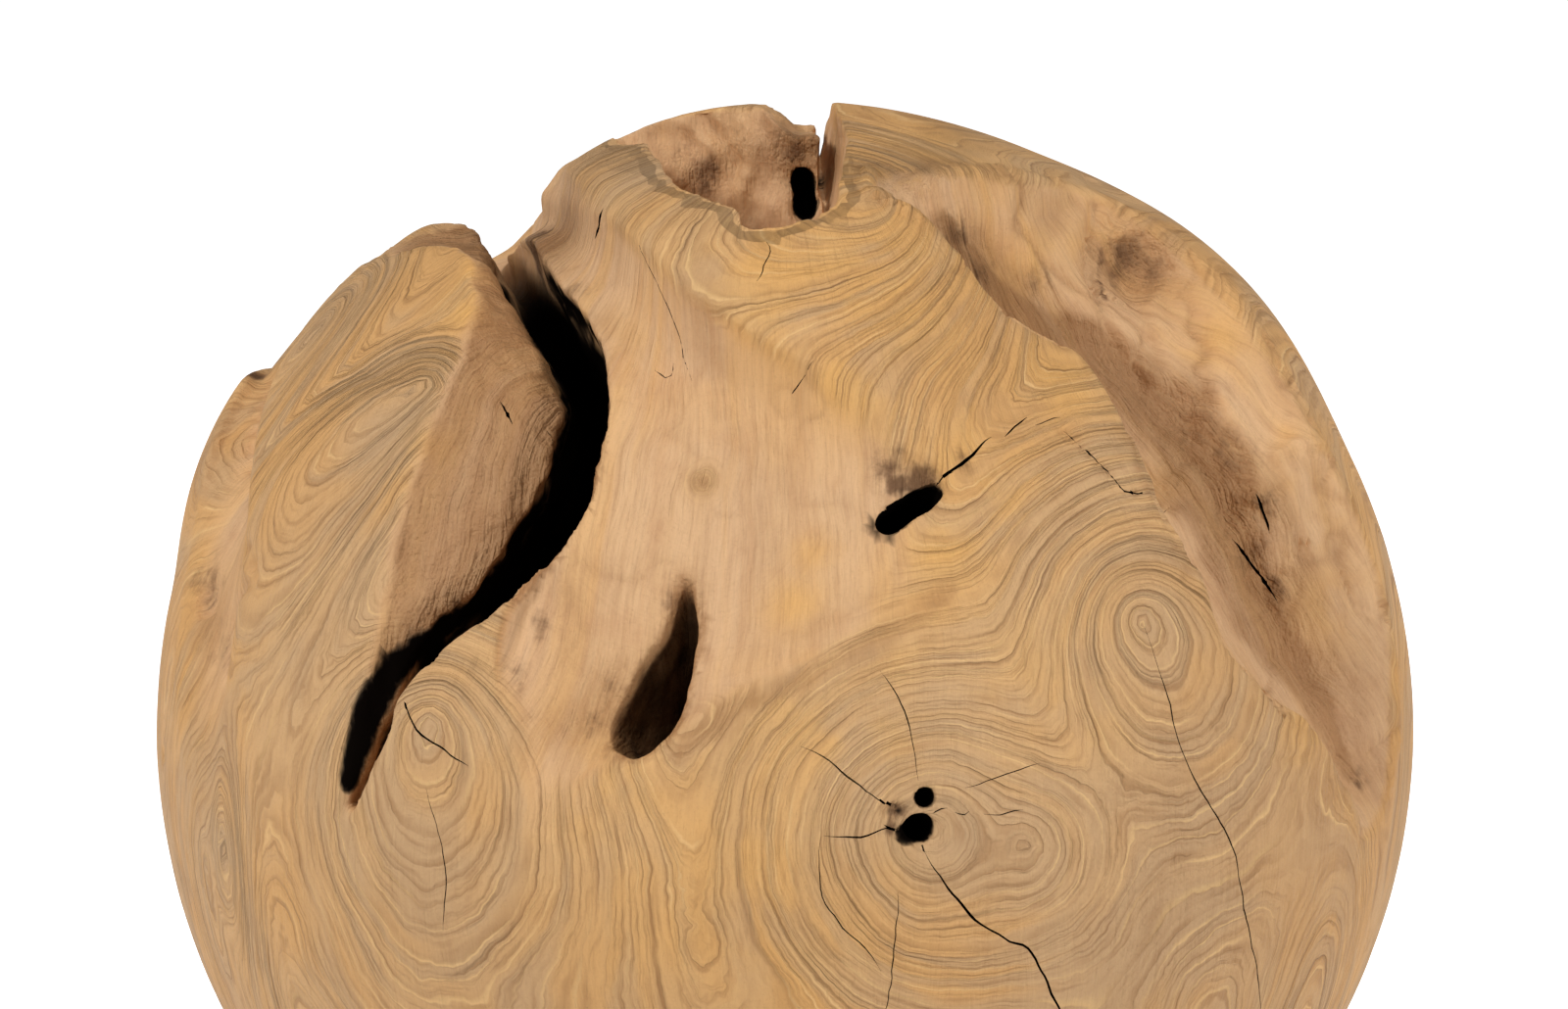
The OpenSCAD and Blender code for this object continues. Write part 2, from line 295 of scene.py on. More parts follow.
SLOT_W, SLOT_DEPTH = 8, 48
SLOT = [
    (4, 66, 2, 62, 1, 1.1), (12, 73, 8, 68, 1.1, 1.2), (33, 82, 30, 80, 0.8, 0.9),
    (143, 84, 143, 84, 0.6, 0.5), (169.5, 72, 169.5, 72, 0.6, 0.36), (173, 60, 173, 58, 0.7, 0.26),
    (177, 48, 177, 45, 0.6, 0.2), (179, 39, 179, 38, 0.3, 0.12)]
NOTCH_W, NOTCH_DEPTH = 19, 6.5
NOTCH = [
    (22, 85.4, 38, 84.6, 1, 1), (117, 88.1, 104, 86.5, 1, 1), (165, 83.3, 152, 82.5, 1, 1),
    (173, 73, 167, 73, 0.95, 0.95), (176, 63, 172, 63, 0.7, 0.7), (177.5, 52, 175, 52, 0.3, 0.3)]
CROWN_OUTLINE = [
    [-15.6, 0], [-14.2, -4.3], [-12, -6.6], [-11, -11.6], [-9.4, -16.4], [-6.6, -20], [-4, -22.4],
    [-3.3, -25.4], [-1, -25], [1.5, -23.8], [4, -21.7], [4.6, -14.5], [4.3, -2.3], [-1.7, 1.7],
    [-8.6, 3.4], [-14.5, 3]]
CROWN_HEART = [-1.7, -9.8]
# The share of the outline and the share of the depth, level by level.
CROWN_LEVELS = [[1.12, -0.4], [0.97, 0.12], [0.89, 0.42], [0.7, 0.72], [0.42, 0.93], [0.15, 1]]
CROWN_DEPTH = 78
CORE_D, SMALL_CORE_D, CORE_DEPTH = 9, 5.85, 30


def crown_hollow():
    """Cutter of the open hollow at the crown."""
    levels = smoothed(CROWN_LEVELS, 5)
    closed = smoothed(CROWN_OUTLINE + CROWN_OUTLINE[:1], 4)[:-1]
    tilts = CROWN_HEART + (closed[None] - CROWN_HEART) * levels[:, None, :1]
    flat = BALL_R * np.sin(np.radians(tilts))
    top = np.sqrt(BALL_R**2 - (flat**2).sum(-1)) - levels[:, None, 1] * CROWN_DEPTH
    return skin(np.concatenate([flat, top[..., None]], -1))


def core(azimuth, elevation, d, depth):
    """Rotten core that runs straight in from the surface."""
    way = toward(azimuth, elevation)
    side = unit(np.cross(way, [0, 0, 1]))
    other = np.cross(side, way)
    turn = np.linspace(0, 2 * np.pi, 25)[:-1]
    ring = side * np.cos(turn)[:, None] + other * np.sin(turn)[:, None]
    stops = [(0, 0.5), (depth * 0.6, 0.75), (depth, 1), (depth + REACH, 1.2)]
    return skin(np.stack([way * (BALL_R - depth + z) + ring * d / 2 * w for z, w in stops]))


print("rows of the long fissure:", len(GAP), "and of the slot:", len(SLOT))

# %% [markdown]
# ## Noise for natural shapes
# Wood that rotted or tore has no straight line in it. Value noise gives a smooth number between
# -1 and 1 anywhere in space from a scrambled seed at each corner of a grid, and it is the same
# at every run.

# %% Noise
def scrambled(ix, iy, iz, seed):
    """A number from -1 to 1 for each grid corner. Large odd factors mix its bits."""
    h = (ix.astype(np.uint32) * np.uint32(374761393) + iy.astype(np.uint32) * np.uint32(668265263)
         + iz.astype(np.uint32) * np.uint32(2246822519) + np.uint32(seed * 974711 + 12345))
    h = (h ^ (h >> np.uint32(13))) * np.uint32(1274126177)
    h = (h ^ (h >> np.uint32(16))) * np.uint32(2654435761)
    return (h >> np.uint32(8)).astype(np.float32) / np.float32(1 << 23) - 1


def noise(points, wave, seed):
    """Smooth noise from -1 to 1. The wave is one length, or three for stretched noise."""
    p = np.asarray(points, np.float32) / np.asarray(wave, np.float32)
    cell = np.floor(p).astype(np.int64)
    f = p - cell
    f = f * f * (3 - 2 * f)
    total = np.zeros(p.shape[:-1], np.float32)
    for corner in range(8):
        step = np.array([corner & 1, corner >> 1 & 1, corner >> 2])
        share = np.where(step, f, 1 - f).prod(-1)
        at = cell + step
        total += share * scrambled(at[..., 0], at[..., 1], at[..., 2], seed)
    return total


print("noise at two places 5 mm apart:", noise([[0, 0, 0], [5, 0, 0]], 20, 1))


# %% [markdown]
# ## Carving the ball
# The ball is held as a field: a grid of cells where each cell knows how far it is from the
# wood's surface, minus inside and plus outside. Subtracting a cutter from such a field can round
# the edge between them by any amount, soft where water and sand have worn the root, and crisp
# where it broke. A mesh boolean would leave every edge equally sharp.

# %% Field of the turned ball
# The side of a cell in mm.
CELL = 1.25
HALF = int((BALL_R + 5) / CELL) + 1
axis = np.arange(-HALF, HALF + 1) * CELL
# Two low swellings: azimuth, elevation, height over the ball and diameter of the round lump.
SWELLINGS = {"ridge": (98, 46, 4.6, 262), "sliver": (-95, 29, 6, 210)}
SLIVER_END = toward(-94, 32.9) * BALL_R
SLIVER_UP = unit(np.cross(np.cross([0, 0, 1], SLIVER_END), -SLIVER_END))


def round_field(centre, radius):
    """Distances from the skin of a round body."""
    x, y, z = [(axis - c) ** 2 for c in centre]
    return np.sqrt(x[:, None, None] + y[:, None] + z).astype(np.float32) - np.float32(radius)


def plane_field(at, way):
    """Distances in front of a plane through a place."""
    x, y, z = [axis * n for n in way]
    return (x[:, None, None] + y[:, None] + z - float(at @ way)).astype(np.float32)


def round_max(a, b, edge):
    """The larger of two fields, with the edge between them rounded over its width."""
    h = np.clip(0.5 + 0.5 * (a - b) / edge, 0, 1)
    return b + (a - b) * h + edge * h * (1 - h)


field = round_field((0, 0, 0), BALL_R)
for name, (az, el, height, d) in SWELLINGS.items():
    lump = round_field(toward(az, el) * (BALL_R + height - d / 2), d / 2)
    if name == "sliver":
        lump = round_max(lump, plane_field(SLIVER_END, SLIVER_UP), 2)
    field = -round_max(-field, -lump, 3)
field = np.maximum(field, -(axis + CENTRE_Z)[None, None, :]).astype(np.float32)
print("field of", field.shape[0], "cells a side")

# %% Subtracting a cutter
NEAR_SKIN = 30
cutters = {}


def cutter_field(shape, band):
    """The cutter as distances in its own part of the grid."""
    points, faces = shape
    grid = vdb.FloatGrid.createLevelSetFromPolygons(
        points.astype(np.float32), triangles=faces.astype(np.uint32),
        transform=vdb.createLinearTransform(voxelSize=CELL), halfWidth=band / CELL)
    low, high = [np.clip(c, -HALF, HALF) for c in grid.evalActiveVoxelBoundingBox()]
    values = np.zeros(high - low + 1, np.float32)
    grid.copyToArray(values, ijk=tuple(int(v) for v in low))
    return low + HALF, values


def carve(name, shape, edge, tear=0.0, tear_wave=12.0):
    """Takes a cutter out of the ball. Its edge is rounded, and torn out of line by noise."""
    torn = edge + 3 * tear
    low, values = cutter_field(shape, max(torn + 1, 8))
    part = tuple(slice(a, a + n) for a, n in zip(low, values.shape))
    if tear:
        near = np.argwhere((np.abs(values) < torn) & (np.abs(field[part]) < NEAR_SKIN))
        at = (near + low - HALF) * CELL
        rough = (noise(at, tear_wave, len(cutters)) + 0.5 * noise(at, tear_wave / 2.3, 50)
                 + 0.25 * noise(at, tear_wave / 5, 60))
        values[tuple(near.T)] += (rough * tear).astype(np.float32)
    cutters[name] = (low, values, field[part].copy())
    field[part] = round_max(field[part], -values, edge)
    print("carved the", name)


# %% Round bodies
def part_about(centre, radius, reach, stretch=(1, 1, 1)):
    """The part of the grid about a round body, and its distances from the body's skin."""
    low = np.clip(np.floor((centre - reach) / CELL).astype(int) + HALF, 0, 2 * HALF)
    high = np.clip(np.ceil((centre + reach) / CELL).astype(int) + HALF, 0, 2 * HALF)
    part = tuple(slice(a, b) for a, b in zip(low, high))
    x, y, z = [(axis[q] - c) / s for q, c, s in zip(part, centre, stretch)]
    far = np.sqrt(x[:, None, None] ** 2 + y[:, None] ** 2 + z**2)
    return low, part, ((far - radius) * min(stretch)).astype(np.float32)


def swell(azimuth, elevation, middle, radius, edge):
    """Adds a round lump, whose middle lies at a distance from the ball's centre."""
    _, part, values = part_about(toward(azimuth, elevation) * middle, radius, radius + edge + 3)
    field[part] = -round_max(-field[part], -values, edge)


print("a part about a 10 mm lump has", part_about(np.zeros(3), 10, 13)[2].size, "cells")

# %% [markdown]
# ## Dents found along lines of sight
# Smaller hollows are found from the front: a line of sight is followed through the field until
# it meets the wood, and a round or egg-shaped bite is taken out there.

# %% Dents along a line of sight
def field_at(at):
    """The field at the cells nearest to some places."""
    cell = np.clip(np.rint(np.asarray(at) / CELL).astype(int) + HALF, 0, 2 * HALF)
    return field[tuple(cell.T)]


def met(x, y):
    """Point and outward normal where a line of sight meets the field's surface."""
    way = line_of_sight(x, y)
    # Steps of a third of a cell, from a little before the ball to its far side.
    steps = np.arange(CAMERA_DISTANCE - BALL_R - 60, CAMERA_DISTANCE + BALL_R, CELL / 3)
    line = camera_at + way * steps[:, None]
    first = int(np.argmax(field_at(line) < 0))
    at = line[first]
    shift = np.eye(3) * 2 * CELL
    return at, unit(field_at(at + shift) - field_at(at - shift))


def dent(name, place, size, deep, edge, stretch=(1, 1, 1), inward=None):
    """Takes a bite out of the wood: size is its half width and deep is how far it goes in."""
    at, up = met(*place)
    up = up if inward is None else unit(-np.array(inward, float))
    ball_r = (size**2 + deep**2) / (2 * deep) if deep < size else size
    centre = at + up * (ball_r - deep)
    low, part, values = part_about(centre, ball_r, ball_r * max(stretch) + edge + 3, stretch)
    cutters[name] = (low, values, field[part].copy())
    field[part] = round_max(field[part], -values, edge)


print("the wood's middle is met at", met(VIEW_SIZE[0] / 2, VIEW_SIZE[1] / 2)[0].round(1))

# %% [markdown]
# The open hollows are cut first and the fissures after them, because a cut rounds its edge on
# the wood that is there by then. After each cutter come the rounding of its edge, how far noise
# tears that edge, and the wave of the tear. A swelling has its azimuth and elevation, how far
# out its middle lies, its radius and its edge. All lengths are in mm.

# %% The large cuts, in their order
carve("wall", hollow(WALL, WALL_DROP, 0.1, 1), 2, 0.5, 25)
carve("trough", hollow(TROUGH, TROUGH_DEPTH, 0.3, 0.5), 5)
carve("shoulder", hollow(SHOULDER, SHOULDER_DROP, 0.2, 1), 3)
carve("valley", hollow(VALLEY, VALLEY_DEPTH, 0.15, 0.6), 1.6, 0.8, 22)
carve("groove", hollow(GROOVE, GROOVE_DEPTH, 0.5, 0.5), 2.5)
swell(-95.7, 53.3, 178.6, 18.6, 13)
swell(-94.5, 68.6, 181, 10, 6)
carve("gap", fissure(GAP, GAP_W, GAP_DEPTH), 1.6, 1.3, 15)
carve("pocket", fissure(POCKET, POCKET_W, POCKET_DEPTH), 2, 0.8, 18)
dent("recess", (935, 494), 8.5, 3.2, 1.0, (1.3, 1, 1))
carve("hole", fissure(HOLE, HOLE_W, HOLE_DEPTH), 0.8, 0.5, 8)
carve("slot", fissure(SLOT, SLOT_W, SLOT_DEPTH), 1.2, 0.6, 9)
carve("notch", fissure(NOTCH, NOTCH_W, NOTCH_DEPTH), 1.5, 1.3, 8)
carve("crown", crown_hollow(), 1.5, 1.8, 10)
carve("core", core(11.4, 6.2, CORE_D, CORE_DEPTH), 1.6, 0.7, 6)
carve("small_core", core(12.1, 8.9, SMALL_CORE_D, CORE_DEPTH), 1.6, 0.5, 5)

# %% The dents: name, place in the frame, half width, depth and edge in mm, stretch, way in
DENTS = [
    ("opening", (819, 187), 4.6, 6, 0.8, (0.95, 4.0, 1.2), (0.05, 1, -0.25)),
    ("opening_low", (820, 210), 4.6, 6, 0.8, (1.0, 4.0, 1.3), (0.05, 1, -0.25)),
    ("stain_pocket", (1156, 268), 10.5, 8, 0.8, (1, 1, 1.1), (-0.5, 0.7, -0.5)),
    ("stain_pocket_low", (1178, 300), 12, 3, 5), ("crown_dimple", (728, 178), 7, 3, 4),
    ("crown_fold", (700, 150), 6, 2, 4), ("core_tear", (914, 828), 2.6, 2.2, 0.8, (1.6, 1, 1)),
    ("core_side", (924, 852), 3.2, 3, 1), ("sliver_dent", (214, 606), 5, 2.4, 2, (1, 1, 1.4)),
    ("left_notch", (164, 770), 3, 1.6, 1), ("rim_step", (1138, 193), 18, 2.6, 0.5),
    ("rim_nick", (1112, 184), 3, 1.2, 0.5), ("flank_low", (1330, 560), 14, 2.5, 6),
    ("flank_mid", (1290, 440), 12, 2.5, 6), ("flank_top", (1230, 330), 12, 2, 6)]
for row in DENTS:
    dent(*row)
print(len(cutters), "cuts in all")

# %% Surface of the field
def surface(values):
    """Points and four-sided faces where a field is 0."""
    band = 3 * CELL
    grid = vdb.FloatGrid(band)
    grid.transform = vdb.createLinearTransform(voxelSize=CELL)
    grid.copyFromArray(np.clip(values, -band, band), ijk=(-HALF,) * 3, tolerance=0.0)
    points, _, quads = grid.convertToPolygons(isovalue=0.0, adaptivity=0.0)
    return points.astype(np.float64), quads.astype(np.int64)


points, quads = surface(field)
print("carved surface:", len(points), "points")


# %% Mesh from the surface
def new_mesh(name, points, faces):
    """A mesh from points and from faces that all have as many sides."""
    mesh = bpy.data.meshes.new(name)
    mesh.vertices.add(len(points))
    mesh.vertices.foreach_set("co", np.ascontiguousarray(points, np.float32).ravel())
    sides = faces.shape[1]
    mesh.loops.add(faces.size)
    mesh.loops.foreach_set("vertex_index", faces.ravel().astype(np.int32))
    mesh.polygons.add(len(faces))
    mesh.polygons.foreach_set("loop_start", np.arange(0, faces.size, sides, dtype=np.int32))
    mesh.update(calc_edges=True)
    mesh.validate()
    return mesh


def numbers(items, what, width=3):
    """One row of numbers for each vertex or face of a mesh."""
    out = np.empty(len(items) * width, np.float32)
    items.foreach_get(what, out)
    return out.reshape(-1, width).astype(np.float64)


rough_ball = new_mesh("rough_ball", points, quads)
normals = numbers(rough_ball.vertex_normals, "vector")
print("rough ball:", len(rough_ball.polygons), "faces")

# %% [markdown]
# ## Lumps and fibres in the shape itself
# The turned skin of the ball is nearly round, with slight waves where the wood moved as it
# dried. Inside the hollows the tool never passed, so they keep soft lumps and long ridges of
# fibre. Both are small moves of the surface along its own normal.

# %% Who made a place
def member(name, at, within=2.0):
    """1 for points on the surface that a cutter made, and how far under the old surface."""
    low, values, before = cutters[name]
    cell = np.rint(at / CELL).astype(int) + HALF - low
    inside = ((cell >= 0) & (cell < values.shape)).all(1)
    cell = np.clip(cell, 0, np.array(values.shape) - 1)
    value = np.where(inside, values[tuple(cell.T)], 99)
    return np.clip((within + 1.5 - np.abs(value)) / 1.5, 0, 1), -before[tuple(cell.T)]


def smoothstep(a, b, x):
    """Goes smoothly from 0 to 1 as x goes from a to b."""
    t = np.clip((x - a) / (b - a), 0, 1)
    return t * t * (3 - 2 * t)


print("points made by the valley's cut:", int(member("valley", points)[0].sum()))

# %% Lumps
in_hollow = smoothstep(1.5, 7, BALL_R - np.linalg.norm(points, axis=1))
wall_here, _ = member("wall", points, 3)
valley_here, _ = member("valley", points, 3)
moves = -0.17 * (1 + noise(points, 45, 1)) - 0.12 * (1 + noise(points, 16, 2))
moves += in_hollow * (1.1 * noise(points, 34, 3) + 0.5 * noise(points, 15, 4))
moves += in_hollow * 0.45 * noise(points, (5, 5, 38), 5)
moves += wall_here * (0.8 * noise(points, (7, 7, 16), 8) + 0.5 * noise(points, (3.5, 3.5, 9), 9))
moves += valley_here * (2.8 * noise(points, 26, 6) + 1.3 * noise(points, (11, 11, 16), 7))
print("lumps move the surface by", round(moves.min(), 2), "to", round(moves.max(), 2), "mm")

# %% Folds: a path in the camera's frame, its width and its height in mm
FOLDS = [
    ([(1000, 245), (1045, 295), (1100, 343), (1160, 392), (1212, 440), (1246, 490), (1268, 550),
        (1298, 620), (1338, 690)], 6, -2.2),
    ([(1040, 235), (1090, 300), (1150, 350), (1215, 385), (1262, 430), (1300, 490), (1325, 560),
        (1355, 640), (1390, 720)], 9, 2.0),
    ([(1120, 212), (1114, 265), (1120, 312), (1138, 352), (1165, 395)], 2.6, -2.0),
    ([(1142, 238), (1160, 233), (1182, 247), (1200, 268)], 2.5, 1.4),
    ([(1085, 205), (1060, 262), (1075, 310)], 6, -1.0),
    ([(1180, 332), (1230, 345), (1262, 372)], 3.5, 1.5),
    ([(1215, 300), (1262, 332), (1300, 385)], 5, 1.4),
    ([(1240, 400), (1262, 440), (1275, 480), (1282, 510)], 3, 1.6),
    ([(1300, 470), (1322, 455), (1348, 452)], 2.5, 1.6),
    ([(1300, 485), (1320, 500), (1332, 530)], 3, -1.4),
    ([(1350, 480), (1362, 560), (1376, 640)], 5, -1.6),
    ([(1150, 300), (1172, 330), (1180, 372)], 3, -1.4),
    ([(718, 118), (728, 135), (738, 150), (752, 168)], 2.2, -2.2),
    ([(700, 128), (716, 140), (728, 150)], 2.5, 1.6),
    ([(755, 130), (764, 160), (758, 200)], 4, 1.6),
    ([(775, 122), (784, 150), (780, 190)], 3, -1.4),
    ([(1085, 440), (1128, 478), (1160, 503), (1195, 519)], 1.5, -1.5),
    ([(1100, 432), (1140, 462), (1178, 492)], 3, 0.9),
    ([(1209, 705), (1238, 739), (1274, 761), (1306, 776), (1335, 771)], 1.4, -0.9),
    ([(275, 388), (258, 453), (254, 577), (243, 603), (232, 642), (226, 698)], 3.5, -2.8),
    ([(488, 270), (493, 311), (478, 346), (471, 372), (445, 437), (426, 469), (406, 508)], 2, 0.6),
    ([(555, 200), (620, 222), (665, 258), (700, 291), (760, 331), (830, 371)], 3, 0.9),
    ([(960, 602), (880, 662), (780, 703), (700, 752)], 4, -1.3),
    ([(975, 620), (895, 682), (795, 725), (715, 772)], 6, 1.0),
    ([(560, 320), (600, 420), (640, 560), (660, 640)], 9, 0.9),
    ([(700, 300), (745, 420), (780, 560), (770, 660)], 12, -0.9)]
folds = [(smoothed([met(*spot)[0] for spot in path], 6), *rest) for path, *rest in FOLDS]
print(len(folds), "folds")

# %% Moving the surface
def creases(at):
    """Near 1 along thin wandering lines, and near 0 between them."""
    return (1 - np.abs(noise(at, (20, 20, 34), 10) + 0.4 * noise(at, 9, 11))) ** 7


def about_fold(at, line, wide):
    """The points near a fold, and 1 to 0 away from its line."""
    span = np.ptp(line, axis=0) / 2 + 3 * wide + 20
    near = np.where((np.abs(at - line.mean(0)) < span).all(1))[0]
    far = np.min(np.linalg.norm(at[near, None] - line, axis=2), axis=1)
    return near, np.exp(-(far / wide) ** 2)


moves -= 1.3 * creases(points) * np.maximum(in_hollow * 0.5, valley_here)
for line, wide, height in folds:
    near, share = about_fold(points, line, wide)
    moves[near] += height * share
moves *= smoothstep(0, 12, points[:, 2] + CENTRE_Z)
points = points + normals * moves[:, None]
print("moves from", round(moves.min(), 2), "to", round(moves.max(), 2), "mm")

# %% [markdown]
# ## Thinning the mesh
# The field gives the same fine cells everywhere. Collapsing edges where the surface is flat
# keeps the fine cells for rims and tears.

# %% Thinned ball
TRIANGLES = 176_000


def evaluated(ob):
    """The object's mesh with its modifiers applied."""
    return bpy.data.meshes.new_from_object(ob.evaluated_get(bpy.context.evaluated_depsgraph_get()))


ball = bpy.data.objects.new("ball_wood", new_mesh("ball_wood", points, quads))
bpy.context.collection.objects.link(ball)
thin = ball.modifiers.new("thin", "DECIMATE")
thin.ratio = min(1.0, TRIANGLES / (2 * len(quads)))
ball.data = evaluated(ball)
ball.modifiers.clear()
print("thinned to", len(ball.data.polygons), "triangles")

# %% [markdown]
# ## Finding places on the wood
# Cracks, knots and stains are small marks on known spots. Each is laid where a line of sight
# from the camera meets the wood, so it sits on the surface at its true depth, whether that is
# the turned skin or the floor of a hollow.

# %% Sight
def tree_of(mesh):
    """The mesh in a form that finds its nearest or first-met face quickly."""
    at = numbers(mesh.vertices, "co")
    return BVHTree.FromPolygons([Vector(p) for p in at], [p.vertices[:] for p in mesh.polygons])


skin_tree = tree_of(ball.data)


def seen(x, y):
    """Point and normal where the line of sight through a frame point meets the wood."""
    hit, normal, _, _ = skin_tree.ray_cast(Vector(camera_at), Vector(line_of_sight(x, y)))
    if hit is None:
        raise ValueError(f"nothing is seen at {x}, {y}")
    return np.array(hit), np.array(normal)


print("the big knot lies at", [round(v) for v in seen(940, 835)[0]])

# %% [markdown]
# ## Cracks
# Wood shrinks more round its rings than across them, so it splits in lines that start at the
# knots. A crack is cut as a thin wedge that follows its path, wanders a little, and closes
# towards its bottom and its ends. Here a mesh boolean is right, because a crack's lips are
# crisp and far thinner than a cell of the field.

# %% Cracks: a path in the camera's frame, its width and its depth in mm
CRACKS = {
    "knot_down": ([(940, 863), (949, 881), (969, 909), (999, 941), (1029, 960), (1050, 970),
        (1064, 996), (1081, 1030), (1104, 1078)], 0.6, 14),
    "knot_up": ([(937, 797), (929, 752), (922, 732), (912, 705), (898, 685)], 0.32, 9),
    "knot_left": ([(917, 825), (899, 817), (875, 799), (845, 776), (817, 762)], 0.36, 9),
    "knot_arc": ([(923, 844), (904, 845), (875, 856), (840, 853)], 0.45, 9),
    "knot_arc_down": ([(838, 854), (835, 889), (842, 919), (862, 946), (887, 973),
        (899, 991)], 0.26, 5),
    "knot_foot": ([(916, 911), (916, 939), (912, 981), (904, 1030), (902, 1060)], 0.26, 6),
    "knot_dash_a": ([(949, 832), (958, 829), (967, 825)], 0.4, 5),
    "knot_dash_b": ([(974, 829), (982, 830), (989, 828)], 0.4, 4),
    "knot_dash_c": ([(1004, 831), (1024, 830), (1044, 827)], 0.24, 4),
    "knot_right": ([(985, 804), (1010, 796), (1035, 788), (1062, 779)], 0.26, 4),
    "right_long": ([(1168, 640), (1180, 674), (1192, 713), (1204, 759), (1226, 807), (1255, 860),
        (1275, 950), (1287, 1030), (1290, 1060)], 0.36, 9),
    "hole": ([(955, 497), (972, 481), (984, 472), (991, 464), (1001, 453), (1012, 446)], 0.9, 12),
    "hole_end": ([(1025, 446), (1040, 433), (1048, 426)], 0.36, 5),
    "hole_tip": ([(1056, 434), (1069, 428), (1082, 426)], 0.28, 4),
    "round_knot": ([(410, 710), (425, 745), (450, 762), (478, 782)], 0.5, 8),
    "round_knot_down": ([(435, 805), (455, 890), (452, 950)], 0.26, 5),
    "trough_slit": ([(616, 212), (611, 228), (607, 244)], 0.95, 9),
    "trough_long": ([(652, 250), (669, 287), (690, 335), (698, 365), (706, 389)], 0.26, 4),
    "trough_side": ([(687, 371), (682, 386), (668, 378)], 0.26, 4),
    "trough_edge": ([(829, 369), (820, 386), (808, 402)], 0.26, 4),
    "plate": ([(782, 247), (785, 258), (772, 287)], 0.26, 4),
    "plate_step": ([(1085, 440), (1128, 478), (1160, 503), (1193, 518)], 0.4, 3),
    "wall_low": ([(509, 408), (515, 420), (523, 433)], 0.4, 5),
    "wall_high": ([(558, 440), (562, 447), (564, 454)], 0.36, 5),
    "valley_tear": ([(1282, 504), (1289, 524), (1295, 545)], 0.8, 4),
    "valley_tear_low": ([(1257, 550), (1271, 568), (1287, 589), (1304, 616)], 0.8, 4)}
print(len(CRACKS), "cracks, the deepest", max(deep for *_, deep in CRACKS.values()), "mm")

# %% Wedges
LIP = 2.0
STEP = 2.2


def stepped(path):
    """Points on the wood along a path, evenly spaced, with their normals."""
    ends = [seen(*p)[0] for p in path]
    line = smoothed(ends, 12)
    run = np.concatenate([[0], np.cumsum(np.linalg.norm(np.diff(line, axis=0), axis=1))])
    stops = np.linspace(0, run[-1], max(4, int(run[-1] / STEP) + 1))
    line = np.stack([np.interp(stops, run, line[:, i]) for i in range(3)], 1)
    found = [skin_tree.find_nearest(Vector(p)) for p in line]
    return np.array([f[0] for f in found]), np.array([f[1] for f in found]), stops / run[-1]


def wedge(path, width, deep, seed):
    """A wedge that stands a lip over the wood, wanders, and closes at its bottom and ends."""
    at, up, share = stepped(path)
    along = unit(np.gradient(at, axis=0))
    side = unit(np.cross(up, along))
    # It opens to its full width and depth over about a fifth of its length from each end.
    ease = np.minimum(1, np.minimum(share, 1 - share) * 5 + 0.12)
    wander = noise(at, 9, seed) * 0.7 + noise(at, 3.5, seed + 1) * 0.4
    half = width / 2 * ease * (1 + 0.5 * noise(at, 6, seed + 2))
    at = at + side * (wander * ease)[:, None]
    top = half * (1 + LIP / (deep * 0.8))
    low = at - up * (deep * ease)[:, None]
    ring = [at + up * LIP - side * top[:, None], at + up * LIP + side * top[:, None],
            low + side * 0.05, low - side * 0.05]
    points, faces = skin(np.stack(ring, 1))
    a, b, c = [points[faces[:, i]] - points[0] for i in range(3)]
    if (a * np.cross(b, c)).sum() < 0:
        faces = faces[:, ::-1]
    return points, faces


for n, (name, (path, width, deep)) in enumerate(CRACKS.items()):
    points, faces = wedge(path, width, deep, 100 + n)
    tool = bpy.data.objects.new("wedge", new_mesh("wedge", points, faces))
    bpy.context.collection.objects.link(tool)
    cut = ball.modifiers.new(name, "BOOLEAN")
    cut.object, cut.operation, cut.solver = tool, "DIFFERENCE", "MANIFOLD"
ball.data = evaluated(ball)
ball.modifiers.clear()
for tool in [o for o in bpy.data.objects if o.name.startswith("wedge")]:
    bpy.data.objects.remove(tool)
print(len(CRACKS), "cracks cut,", len(ball.data.polygons), "faces")

# %% [markdown]
# ## Where the rings run
# A ring pattern on a turned surface is a map of how the cut passed through the tree's layers.
# Round each knot the layers close into ovals. Between knots they run as long streaks. So each
# knot gets a number that grows away from it like the height of a valley's side, and the lowest
# of these numbers, with soft borders, tells the material which ring a place is on.

# %% [markdown]
# Each knot, or eye of the grain, has a place, how closely its rings follow, its pull from 0 for
# round to near 1 for long, the turn of its long end in degrees, the ring number at its middle,
# and its width as a share. The left lobe's eye also bends below its middle: how far, and over
# what height, in mm. An eye on the front is placed in the camera's frame, and one behind by its
# azimuth and elevation.

# %% Eyes of the grain
EYES_SEEN = {
    "big_knot": ((940, 838), 1.0, 0.15, -60, 0, 1.0),
    "right_oval": ((1164, 632), 1.1, 0.5, -62, 0, 1.0),
    "round_knot": ((437, 738), 1.1, 0.6, -85, 0, 1.0),
    "left_lobe": ((430, 392), 2.3, 0.84, -90, 0, 1.0, (40, 38)),
    "upper_lobe": ((325, 335), 1.3, 0.6, -110, 6, 0.8),
    "top_plate": ((897, 196), 1.7, 0.74, 200, 0, 1.0),
    "narrow_knot": ((228, 870), 1.0, 0.0, 0, 6, 0.35),
    "trough_knot": ((717, 492), 1.0, 0.0, 0, 8, 0.8),
    "small_knot": ((1045, 859), 1.0, 0.3, -60, 14, 1.0)}
EYES_BEHIND = {
    "back_knot": ((150, 12), 1.0, 0.3, -80, 0, 1.0),
    "back_oval": ((-150, -8), 0.9, 0.5, -100, 0, 0.8),
    "side_oval": ((102, 10), 1.0, 0.5, -80, 4, 0.7),
    "low_knot": ((-112, -25), 1.0, 0.3, -90, 4, 1.0),
    "high_back": ((165, 52), 1.1, 0.4, -90, 2, 1.0)}
